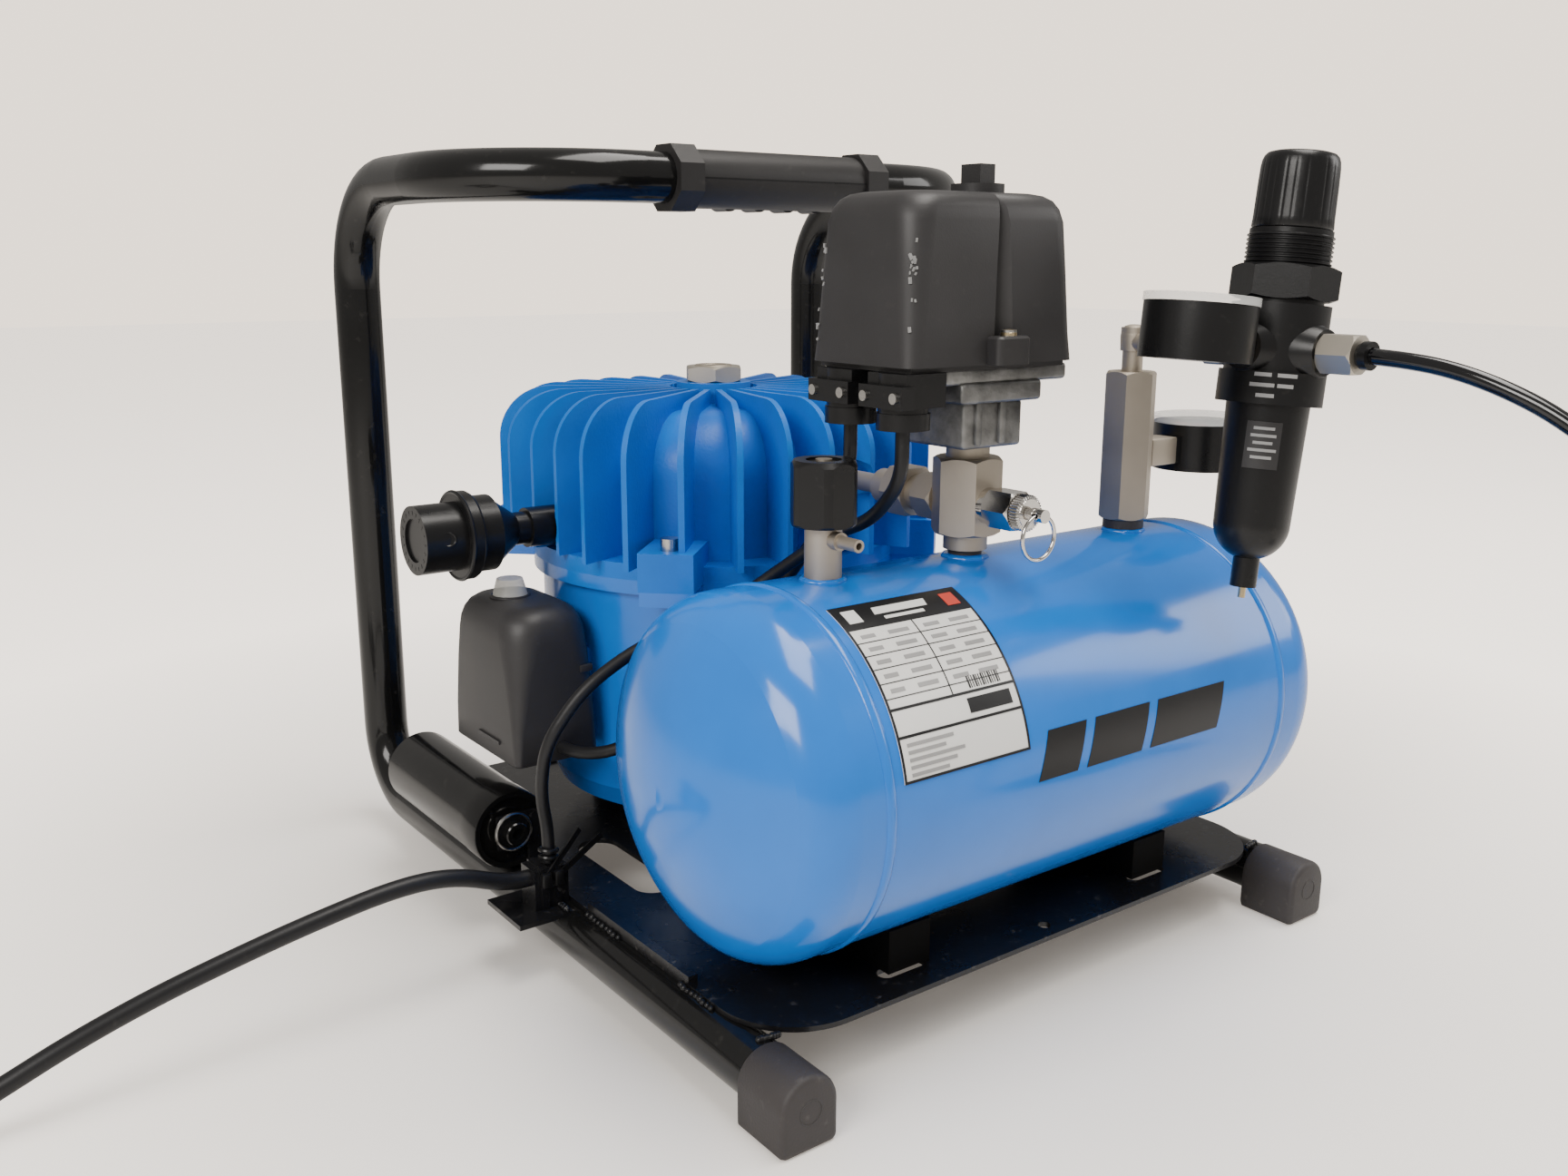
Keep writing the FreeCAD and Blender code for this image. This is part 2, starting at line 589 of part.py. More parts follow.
def cable_glands():
    """Two clamp glands under the left side of the switch, and the screws of the switch."""
    glands = []
    screws = [join(rod(2.8, 2.2, "cover_x + 45", "cover_y - 2", "cover_z + 10"),
                   rod(1.6, 10, "cover_x + 45", "cover_y - 2", "cover_z"))]
    for middle in ("gland_front_y", "gland_back_y"):
        barrel = join(rod(9, 14, "gland_x", middle, "cover_z - 16"),
                      rod(9.6, 6, "gland_x", middle, "cover_z - 22"),
                      box(19, 20, 12, "gland_x - 8", f"{middle} - 10", "cover_z - 14"),
                      box(6, 23, 8, "gland_x - 11", f"{middle} - 11.5", "cover_z - 14"))
        glands.append(barrel)
        for side in ("- 8", "+ 8"):
            screws.append(rod(1.9, 1.2, "gland_x - 12.2", f"{middle} {side}", "cover_z - 10", "X"))
    keep("cable_glands", group(*glands))
    keep("switch_screws", group(*screws))


# ---------------------------------------------------------------- column, gauges and regulator

def supply_column():
    rise = "column_top_z - column_low_z"
    column = join(nut_form("column_flats", rise, "column_x", "tank_y", "column_low_z",
                           turn=Rotation(Vector(0, 0, 1), 30)),
                  rod(4, 9, "column_x", "tank_y", "column_low_z - 9"))
    keep("supply_column", column)
    back_port = "regulator_y + body_radius + 2"
    elbow = join(rod(4.2, "regulator_z - column_top_z", "column_x", "tank_y", "column_top_z"),
                 rod(5.2, 7, "column_x", "tank_y", "regulator_z - 1"),
                 rod(4.5, f"tank_y - ( {back_port} )", "column_x", back_port, "regulator_z", "Y"),
                 nut_form(13, 9, "column_x", back_port, "regulator_z", "Y"))
    keep("column_elbow", elbow)


def gauge_pieces(side, gap, lift):
    """Case, lens and needle of one gauge, its stem reaching across a gap along side X."""
    low, top = f"( {lift} - gauge_height / 2 )", f"( {lift} + gauge_height / 2 )"
    stem_start = "gauge_radius - 2" if side > 0 else f"- gauge_radius - ( {gap} )"
    square_start = "gauge_radius - 2" if side > 0 else f"- gauge_radius - ( {gap} ) + 4"
    case = join(rod("gauge_radius", "gauge_height - 3", 0, 0, low),
                rod(4.5, f"{gap} + 2", stem_start, 0, 0, "X"),
                box(f"{gap} - 2", 11, 11, square_start, -5.5, -5.5))
    case = join(cut(case, rod("gauge_radius - 1.6", 4, 0, 0, f"{top} - 6")),
                rod(0.8, 2.4, 0, 0, f"{top} - 6"))
    lens = group(rod("gauge_radius + 0.4", 3, 0, 0, f"{top} - 3"))
    needle = cut(join(rod(2, 1.3, 0, 0, f"{top} - 5.4"),
                      box(1.1, 17, 0.6, -0.55, -4, f"{top} - 5")),
                 rod(0.8 + CLEARANCE, 4, 0, 0, f"{top} - 6"))
    return case, lens, needle


def gauges():
    """Tank gauge beside the column and outlet gauge on the regulator, both with the dial up."""
    cases, lenses = [], []
    tilt = Rotation(Vector(0, 1, 0), size["regulator_lean"])
    sine, cosine = "sin(regulator_lean * 1 deg)", "cos(regulator_lean * 1 deg)"
    seats = {
        "tank": (-1, "gauge_reach - gauge_radius - column_flats / 2", 2, Rotation(),
                 ("column_x + gauge_reach", "tank_y", "low_gauge_z")),
        "outlet": (1, "gauge_reach - gauge_radius - body_radius - 3", 5, tilt,
                   (f"regulator_x - gauge_reach * {cosine}", "regulator_y",
                    f"regulator_z + gauge_reach * {sine}")),
    }
    for name, (side, gap, lift, turn, seat) in seats.items():
        case, lens, needle = gauge_pieces(side, gap, lift)
        cases.append(locate(case, *seat, turn=turn))
        lenses.append(locate(lens, *seat, turn=turn))
        keep(f"{name}_gauge_needle", needle, *seat, turn=turn)
    keep("gauge_cases", group(*cases))
    keep("gauge_lenses", group(*lenses))


def on_regulator(label, item, rise):
    """Seat a piece on the regulator's leaning axis, at a height along it."""
    keep(label, item, f"regulator_x + ( {rise} ) * sin(regulator_lean * 1 deg)", "regulator_y",
         f"regulator_z + ( {rise} ) * cos(regulator_lean * 1 deg)",
         turn=Rotation(Vector(0, 1, 0), size["regulator_lean"]))


def regulator():
    """Filter regulator: body, bonnet, panel nut, locking knob, bowl and drain."""
    ports = [rod(7.6, "body_radius + 2", 0, 0, 20, "Y"),
             rod(7.6, "body_radius + 3", 0, "- body_radius - 3", 20, "Y"),
             rod(7, "body_radius + 3", "- body_radius - 3", 0, 20, "X"),
             taper(8.6, 13, 10, 0, "- body_radius - 3", 20, "Y"),
             taper(8, 12, 10, "- body_radius - 3", 0, 20, "X")]
    body = join(rod("body_radius + 1.5", 12), rod("body_radius", 25, 0, 0, 12), *ports)
    on_regulator("regulator_body", body, -20)
    bonnet = cut(rod("bonnet_radius", 27), rod(4 + CLEARANCE, 26, 0, 0, 2))
    on_regulator("regulator_bonnet", bonnet, 17)
    nut = cut(nut_form("nut_flats", 12.5), rod("bonnet_radius", 14, 0, 0, -1))
    on_regulator("regulator_nut", nut, 18.5)
    on_regulator("regulator_spindle", rod(4, 38), 20)
    knob = cut(turned((0, 0), (14.6, 0), (14.2, 2), (14, 24), (11.5, 27.5), (0, 27.5)),
               rod(4 + CLEARANCE, 18, 0, 0, -1))
    on_regulator("regulator_knob", knob, 44 + SEAL)
    layers = []
    for inset in (0, 2):
        layers.append(join(ball(14.2 - inset, 0, 0, 24.7),
                           taper(14.2 - inset, f"bowl_radius - {inset}", 45.8, 0, 0, 24.7)))
    boss = rod(5, 14)
    bowl = cut(join(layers[0], boss), layers[1], rod(1.4 + CLEARANCE, 16, 0, 0, -1))
    on_regulator("regulator_bowl", bowl, -90.5)
    on_regulator("drain_pin", rod(1.4, 15), -95)


def hose_fitting():
    """Push-in fitting on the outlet port, and the release collet that slides in it."""
    face = "regulator_y - body_radius - 3"
    body = cut(nut_form(14, 14, "regulator_x", f"{face} - 14", "regulator_z", "Y"),
               rod(4.2 + CLEARANCE, 9, "regulator_x", f"{face} - 15", "regulator_z", "Y"))
    keep("hose_fitting", body)
    collet = cut(join(rod(5.2, 3, "regulator_x", f"{face} - 18.5", "regulator_z", "Y"),
                      rod(4.2, 8, "regulator_x", f"{face} - 15.5", "regulator_z", "Y")),
                 rod("hose_radius + 0.05", 14, "regulator_x", f"{face} - 19.5", "regulator_z", "Y"))
    keep("hose_collet", collet)


# ---------------------------------------------------------------- motor and pump

def motor_pot():
    """Drawn steel pot with a rolled flange, four screw tabs and a flat for the relay box."""
    pot = turned((0, "pot_low_z"), (60, "pot_low_z"), (76, "pot_low_z + 9"), ("pot_radius", "pot_low_z + 18"),
                 ("pot_radius", "pot_top_z - 6"), ("pot_radius + 4", "pot_top_z - 6"),
                 ("pot_radius + 4", "pot_top_z"), ("pot_radius - 3", "pot_top_z"),
                 ("pot_radius - 3", "pot_low_z + 20"), (58, "pot_low_z + 3"), (0, "pot_low_z + 3"))
    flat = box(5, 36, 40, "- pot_radius - 2", -18, 78)
    tabs = []
    for quarter in range(4):
        turn = Rotation(Vector(0, 0, 1), 45 + 90 * quarter)
        arm = cut(box("lug_reach - pot_radius", 22, 6, "pot_radius", -11, "pot_top_z - 6"),
                  rod(2.5, 8, "lug_reach - 9", 0, "pot_top_z - 7"))
        tabs.append(locate(arm, 0, 0, 0, turn=turn))
    keep("motor_pot", join(pot, flat, *tabs), "motor_x", "motor_y", 0)


def radial_fins():
    """Plates standing round the core, trimmed to a rounded outline."""
    envelope = moulding("2 * fin_half", "2 * fin_half", "fin_top_z - fin_low_z", "fin_corner", "fin_round")
    locate(envelope, "- fin_half", "- fin_half", "fin_low_z")
    plates = []
    count = int(size["fin_count"])
    for index in range(count):
        turn = Rotation(Vector(0, 0, 1), 360 * (index + 0.5) / count)
        plate = box(90, "fin_thick", 70, 20, "- fin_thick / 2", "fin_low_z")
        plates.append(locate(join(plate, box(1, "fin_thick", 1, 20, "- fin_thick / 2", "fin_low_z")), turn=turn))
    return shared(join(*plates), envelope)


def finned_cover():
    """Cast cover of the pump: a hollow core with radial fins, flange, lugs and a top boss."""
    core = locate(moulding("2 * core_half", "2 * core_half", "core_top_z - pot_top_z", "core_corner", "core_round"),
                  "- core_half", "- core_half", "pot_top_z")
    room = locate(moulding("2 * core_half - 12", "2 * core_half - 12", "core_top_z - pot_top_z - 6",
                           "core_corner - 6", "core_round - 6"),
                  "- core_half + 6", "- core_half + 6", "pot_top_z")
    lugs, bores = [], []
    for quarter in range(4):
        turn = Rotation(Vector(0, 0, 1), 45 + 90 * quarter)
        lugs.append(box("lug_reach - 60", 23, 16, turn=turn))
        reach = math.sqrt(0.5)
        signs = [(1, 1), (-1, 1), (-1, -1), (1, -1)][quarter]
        start = 60 * reach
        side = 11.5 * reach
        locate(lugs[-1], signs[0] * start + signs[1] * side, signs[1] * start - signs[0] * side, "pot_top_z",
               turn=turn)
        place = [f"( lug_reach - 9 ) * {sign * reach:.6f}" for sign in signs]
        bores.append(rod(2.5, 20, *place, "pot_top_z - 1"))
    body = join(core, radial_fins(), rod("pot_radius + 4", "fin_low_z - pot_top_z", 0, 0, "pot_top_z"),
                *lugs, rod(17, 18, 0, 0, "fin_top_z - 16"))
    inlet_way = rod(10.5, 60, "- fin_half - 10", 0, "intake_z", "X")
    inlet_way = shared(inlet_way, box("fin_half - core_half + 10", 30, 30, "- fin_half - 10", -15, "intake_z - 15"))
    delivery_way = rod(9, "fin_half - core_half + 8", "manifold_x - motor_x", "- fin_half - 8", "branch_z", "Y")
    screw_ways = []
    for sign_x, sign_y in ((1, 1), (-1, 1), (-1, -1), (1, -1)):
        place = [f"( lug_reach - 9 ) * {sign * math.sqrt(0.5):.6f}" for sign in (sign_x, sign_y)]
        screw_ways.append(rod(5.5, 30, *place, "pot_top_z + 16"))
    keep("finned_cover", cut(body, room, inlet_way, delivery_way, *bores, *screw_ways,
                             rod(6, 30, 0, 0, "fin_top_z - 20")), "motor_x", "motor_y", 0)


def cover_screws():
    pieces = []
    for sign_x, sign_y in ((1, 1), (-1, 1), (-1, -1), (1, -1)):
        place = [f"( lug_reach - 9 ) * {sign * math.sqrt(0.5):.6f}" for sign in (sign_x, sign_y)]
        pieces.append(join(rod(2.5, 22, *place, "pot_top_z - 6"), rod(3.9, 5, *place, "pot_top_z + 16")))
    keep("cover_screws", group(*pieces), "motor_x", "motor_y", 0)


def oil_plug():
    plug = join(nut_form(24, 7), rod(6, 14, 0, 0, -14))
    keep("oil_plug", plug, "motor_x", "motor_y", "fin_top_z + 2")


def motor_inside():
    """Stator, rotor with its crank, cylinder block and the piston with its slotted yoke."""
    stator = cut(join(rod("pot_radius - 3", 56, 0, 0, 62), rod(60, 76, 0, 0, 52)), rod(36, 90, 0, 0, 45))
    keep("stator", stator, "motor_x", "motor_y", 0)
    rotor = join(rod(35.4, 58, 0, 0, 61), rod("shaft_radius", 111, 0, 0, 46), rod(14, 6, 0, 0, 157),
                 rod(4, 12, 0, "- crank_throw", 163))
    keep("rotor", rotor, "motor_x", "motor_y", 0)
    block = join(rod(59, 7, 0, 0, 128), rod(14, 34, 0, 0, 122), rod(18, 24, 0, -52, "crank_z", "Y"),
                 box(30, 22, 34, -15, -51, 134), box(38, 5, 38, -19, -57, "crank_z - 19"))
    block = cut(block, rod("shaft_radius + 0.05", 60, 0, 0, 110),
                rod("piston_radius + 0.05", 30, 0, -52, "crank_z", "Y"))
    keep("cylinder_block", block, "motor_x", "motor_y", 0)
    piston = join(rod("piston_radius", 14, 0, -49, "crank_z", "Y"), box(8, 9, 8, -4, -35.5, "crank_z - 4"),
                  box(29, 41, 8, -14.5, -26.5, "crank_z - 4"))
    window = box(21, 33, 10, -10.5, -22.5, "crank_z - 5")
    keep("piston", cut(piston, window), "motor_x", "motor_y", 0)


def motor_mounts():
    deck = "plate_z + plate_thick"
    pieces = [rod(9, f"pot_low_z - ( {deck} )", x, y, deck) for x in (-38, 38) for y in (-38, 38)]
    keep("motor_mounts", group(*pieces), "motor_x", "motor_y", 0)


def intake_filter():
    """Silencer filter screwed into the side of the cover, with its end cap."""
    flange = "intake_tip_x + 18"
    wall = "motor_x - core_half"
    body = join(rod(18.5, 5, flange, 0, 0, "X"), rod(16, 10, f"{flange} + 5", 0, 0, "X"),
                taper(15, 7, 11, f"{flange} + 15", 0, 0, "X"),
                rod(7, 8, f"{flange} + 25", 0, 0, "X"),
                rod(8.5, f"{wall} - ( {flange} + 32 )", f"{flange} + 32", 0, 0, "X"))
    keep("intake_filter", body, 0, "motor_y", "intake_z")
    cap = cut(rod(14.3, 18, "intake_tip_x", 0, 0, "X"), rod(9, 1, "intake_tip_x", 0, 0, "X"))
    keep("filter_cap", cap, 0, "motor_y", "intake_z")


# ---------------------------------------------------------------- electrical parts

def relay_box():
    """Moulded box over the motor's terminals, with a reset button under a clear boot."""
    shell = cut(moulding("relay_depth", "relay_width", "relay_height", 12, 10),
                box("relay_depth - 10", "relay_width - 10", "relay_height - 8", 5, 5, -1),
                rod(7.5 + CLEARANCE, 12, "reset_x - relay_x", "reset_y - relay_y", "relay_height - 10"))
    keep("relay_box", shell, "relay_x", "relay_y", "relay_z")
    boot = join(rod(7.5, 3), taper(7.5, 5.6, 7, 0, 0, 3))
    keep("reset_button", boot, "reset_x", "reset_y", "relay_z + relay_height - 2.5")


def capacitor():
    can = rod("capacitor_radius", "capacitor_length", "capacitor_x", "capacitor_y", "capacitor_z", "Y")
    recess = rod("capacitor_radius - 2", 1.6, "capacitor_x", "capacitor_y", "capacitor_z", "Y")
    stud = rod(3.4, 8, "capacitor_x", "capacitor_y - 5", "capacitor_z", "Y")
    keep("capacitor", join(cut(can, recess), stud))
    deck = "plate_z + plate_thick"
    front = "capacitor_y - 2"
    arm = join(box(24, 2, 15, "capacitor_x - 7", front, "capacitor_z - 7.5"),
               box(10, 2, f"capacitor_z - ( {deck} )", "capacitor_x + 7", front, deck),
               box(10, 12, 2, "capacitor_x + 7", f"{front} - 10", deck))
    keep("capacitor_bracket", cut(arm, rod(3.4, 8, "capacitor_x", "capacitor_y - 5", "capacitor_z", "Y")))


# ---------------------------------------------------------------- cables, mains lead and hose

SUPPLY_ROUTE = [
    (93, 56, 224), (93, 56, 206), (92.5, 70, 190), (91, 94, 180), (86, 117, 164), (66, 137, 143),
    (36, 146, 133), (13, 150, 119), (-1.5, 154.5, 98), (-2, 160, 77), (3, 165, 57), (3, 165, 43.7),
]
MOTOR_ROUTE = [
    (93, 85, 224), (93, 85, 208), (97, 99, 190), (99, 120, 168), (94, 135, 147), (82, 142.5, 125),
    (62, 148, 105), (44, 155, 91), (31, 166, 84), (25, 179, 81.5), (24, 190.7, 81),
]
LEAD_ROUTE = [
    (-6, 166, 38.5), (-15, 166, 38.5), (-38, 163, 49.5), (-62, 162, 51.6), (-97, 162, 46.5),
    (-126, 162, 40.8), (-150.5, 162, 35.3), (-176.5, 162, 27.5), (-199, 162.5, 18.5), (-222, 164, 9),
    (-244, 165.5, 3.8), (-266.7, 168.2, 3.7), (-290, 174, 3.7),
]
HOSE_ROUTE = [
    (231.5, -25, 249.5), (231.5, -50, 249.5), (234, -78, 244), (239, -106, 231), (246, -136, 205),
    (254, -162, 165), (262, -182, 118), (270, -198, 74), (281, -211, 36), (299, -218, 12),
    (317, -222, 3.3), (334, -222, 3.3),
]


def on_plan(points):
    """A route in the layout, moved to the machine's own origin."""
    return [(x - size["centre_x"], y - size["centre_y"], z) for x, y, z in points]


def seat_free(label, item):
    item.Label = label
    subparts.append(item)


def cables():
    """Cables held by the machine, the mains lead and the air hose, with their coils and ends."""
    radius = size["cable_radius"]
    pair = [cable("supply cable", on_plan(SUPPLY_ROUTE), radius),
            cable("motor cable", on_plan(MOTOR_ROUTE), radius)]
    seat_free("switch_cables", group(*pair))
    seat_free("mains_cord", cable("mains_cord", on_plan(LEAD_ROUTE), size["lead_radius"]))
    seat_free("air_hose", cable("air_hose", on_plan(HOSE_ROUTE), size["hose_radius"], size["hose_bore"]))
    for label, name in (("mains_cord_coil", "lead_coil"), ("air_hose_coil", "hose_coil")):
        ring = cut(rod(f"{name}_outer", f"{name}_height"), rod(f"{name}_inner", 40, 0, 0, -1))
        keep(label, ring, f"{name}_x", f"{name}_y", 0.4)


def mains_plug():
    """Two-pin plug with a tapered tail, lying where the last turn leaves the coil."""
    pins = [rod(2.4, 25, x, 28, 10.6, "Y") for x in (3.5, 22.5)]
    tail = taper(4.2, 7, 24, 13, -24, 10.6, "Y")
    keep("mains_plug", join(moulding(26, 34, 22, 8, 6), *pins, tail),
         "lead_coil_x - lead_coil_outer + lead_radius - 13", "lead_coil_y + 48", 0.4)


def hose_connector():
    """Quick coupling on the free end of the hose, where the last turn leaves the coil."""
    body = join(rod(4, 10, 0, 0, 0, "Y"), nut_form(12, 10, 0, 10, 0, "Y"),
                rod(4.5, 10, 0, 20, 0, "Y"), rod(6.2, 12, 0, 30, 0, "Y"))
    keep("hose_connector", cut(body, rod(2.5, 14, 0, 30, 0, "Y")),
         "hose_coil_x + hose_coil_outer - hose_radius", "hose_coil_y + 22", 8)


# ---------------------------------------------------------------- build and write

BUILDERS = (
    frame_tube, rubber_feet, base_plate, handle_grip, cord_bracket, tank_ends, tank_shell, tank_saddles,
    rating_plate, fitting_washers, outlet_valve, manifold, safety_valve, switch_base, switch_cover,
    switch_mechanism, switch_knob, cable_glands, supply_column, gauges, regulator, hose_fitting, motor_pot,
    finned_cover, cover_screws, oil_plug, motor_inside, motor_mounts, intake_filter, relay_box, capacitor,
    cables, mains_plug, hose_connector,
)

for make in BUILDERS:
    make()
doc.recompute()

faults = [item.Label for item in doc.Objects if "Invalid" in item.State or "Error" in item.State]
faults += [item.Label for item in subparts if item.Shape.isNull() or not item.Shape.isValid()]
if faults:
    raise RuntimeError(f"failed: {faults}")

os.makedirs("parts", exist_ok=True)
for item in subparts:
    item.Shape.exportStep(f"parts/{item.Label}.step")
print(len(subparts), "sub-parts written")
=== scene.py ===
"""Looks of a portable air compressor, built around its CAD frame. All sizes are in metres.

Places are written in the machine's layout, as in the CAD: X from the left foot's outer side,
Y back from the front feet's faces, Z up. plan() moves them to the frame's origin.
"""
import math
import random

import bmesh
import bpy
from mathutils import Matrix, Vector


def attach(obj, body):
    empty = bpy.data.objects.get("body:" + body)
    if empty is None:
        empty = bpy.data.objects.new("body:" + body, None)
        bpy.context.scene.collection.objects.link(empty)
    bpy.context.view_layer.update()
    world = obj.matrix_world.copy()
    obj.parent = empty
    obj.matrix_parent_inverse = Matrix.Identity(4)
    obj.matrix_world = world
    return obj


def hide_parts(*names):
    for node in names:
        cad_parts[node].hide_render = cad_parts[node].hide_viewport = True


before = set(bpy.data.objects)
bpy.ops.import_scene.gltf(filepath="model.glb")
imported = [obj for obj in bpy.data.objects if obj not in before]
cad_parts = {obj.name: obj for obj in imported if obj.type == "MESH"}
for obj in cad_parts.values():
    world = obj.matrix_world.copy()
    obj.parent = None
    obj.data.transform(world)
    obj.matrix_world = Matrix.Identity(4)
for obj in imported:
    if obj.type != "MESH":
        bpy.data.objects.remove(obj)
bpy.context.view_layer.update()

CENTRE = Vector((0.13975, 0.166575, 0.0))
FULL_TURN = 2 * math.pi
random.seed(4)


def plan(x, y, z):
    """A place in the machine's layout, in the frame's own coordinates."""
    return Vector((x, y, z)) - CENTRE


def around(radius, angle, height):
    """A place at a radius, an angle and a height about local Z."""
    return Vector((radius * math.cos(angle), radius * math.sin(angle), height))


def turned_to(direction, origin):
    """A matrix that stands local Z along a direction at an origin."""
    return Matrix.Translation(origin) @ Vector(direction).to_track_quat("Z", "Y").to_matrix().to_4x4()


# ---------------------------------------------------------------- camera

CAMERA_PLACE = plan(-0.23573, -0.31456, 0.283)
HEADING, PITCH, ROLL = math.radians(36.73), math.radians(13.31), math.radians(0.14)
SENSOR_WIDTH_MM, LENS_MM = 36, 32.04


def camera():
    """The photograph's camera."""
    data = bpy.data.cameras.new("camera")
    data.sensor_fit = "HORIZONTAL"
    data.sensor_width = SENSOR_WIDTH_MM
    data.lens = LENS_MM
    data.clip_start = 0.01
    seat = bpy.data.objects.new("camera", data)
    seat.matrix_world = (Matrix.Translation(CAMERA_PLACE) @ Matrix.Rotation(-HEADING, 4, "Z")
                         @ Matrix.Rotation(math.pi / 2 - PITCH, 4, "X") @ Matrix.Rotation(ROLL, 4, "Z"))
    bpy.context.scene.collection.objects.link(seat)
    bpy.context.scene.camera = seat


camera()


# ---------------------------------------------------------------- materials

GLOSS_SPREAD = 0.08
GRAIN_DEPTH = 0.0004
SPECK_SCALE = 260
SPECK_RANGE = (0.62, 0.80)


def material(name, colour, rough=0.5, metallic=0.0, coat=0.0, grain=900.0, bump=0.05, mottle=0.12,
             patch=30.0, dust=0.0, dust_colour=(0.32, 0.30, 0.27), shine=0.5):
    """A surface with uneven colour and gloss, a fine grain, and dust where it is asked for."""
    item = bpy.data.materials.new(name)
    item.use_nodes = True
    nodes, links = item.node_tree.nodes, item.node_tree.links
    shader = nodes["Principled BSDF"]
    shader.inputs["Metallic"].default_value = metallic
    shader.inputs["Specular IOR Level"].default_value = shine
    shader.inputs["Coat Weight"].default_value = coat
    shader.inputs["Coat Roughness"].default_value = 0.08
    place = nodes.new("ShaderNodeTexCoord")

    patches = nodes.new("ShaderNodeTexNoise")
    patches.inputs["Scale"].default_value = patch
    patches.inputs["Detail"].default_value = 6
    links.new(place.outputs["Object"], patches.inputs["Vector"])
    tint = nodes.new("ShaderNodeValToRGB")
    darker, paler = tint.color_ramp.elements
    darker.position, paler.position = 0.3, 0.7
    darker.color = (*[part * (1 - mottle) for part in colour], 1)
    paler.color = (*[min(1, part * (1 + mottle)) for part in colour], 1)
    links.new(patches.outputs["Fac"], tint.inputs["Fac"])
    finish = tint.outputs["Color"]

    fine = nodes.new("ShaderNodeTexNoise")
    fine.inputs["Scale"].default_value = grain
    fine.inputs["Detail"].default_value = 3
    links.new(place.outputs["Object"], fine.inputs["Vector"])
    if dust:
        specks = nodes.new("ShaderNodeTexNoise")
        specks.inputs["Scale"].default_value = SPECK_SCALE
        specks.inputs["Detail"].default_value = 8
        links.new(place.outputs["Object"], specks.inputs["Vector"])
        sift = nodes.new("ShaderNodeMapRange")
        sift.inputs["From Min"].default_value = SPECK_RANGE[0]
        sift.inputs["From Max"].default_value = SPECK_RANGE[1]
        sift.inputs["To Max"].default_value = dust
        links.new(specks.outputs["Fac"], sift.inputs["Value"])
        mix = nodes.new("ShaderNodeMix")
        mix.data_type = "RGBA"
        links.new(sift.outputs["Result"], mix.inputs["Factor"])
        links.new(finish, mix.inputs["A"])
        mix.inputs["B"].default_value = (*dust_colour, 1)
        finish = mix.outputs["Result"]
    links.new(finish, shader.inputs["Base Color"])

    gloss = nodes.new("ShaderNodeMapRange")
    gloss.inputs["To Min"].default_value = max(0.02, rough - GLOSS_SPREAD)
    gloss.inputs["To Max"].default_value = rough + GLOSS_SPREAD
    links.new(patches.outputs["Fac"], gloss.inputs["Value"])
    links.new(gloss.outputs["Result"], shader.inputs["Roughness"])

    relief = nodes.new("ShaderNodeBump")
    relief.inputs["Strength"].default_value = bump
    relief.inputs["Distance"].default_value = GRAIN_DEPTH
    links.new(fine.outputs["Fac"], relief.inputs["Height"])
    links.new(relief.outputs["Normal"], shader.inputs["Normal"])
    return item


def clear(name, colour, rough, alpha):
    """A clear plastic that shows what is behind it."""
    item = material(name, colour, rough=rough, bump=0.02, mottle=0.04)
    shader = item.node_tree.nodes["Principled BSDF"]
    shader.inputs["Alpha"].default_value = alpha
    shader.inputs["Specular IOR Level"].default_value = 0.8
    return item


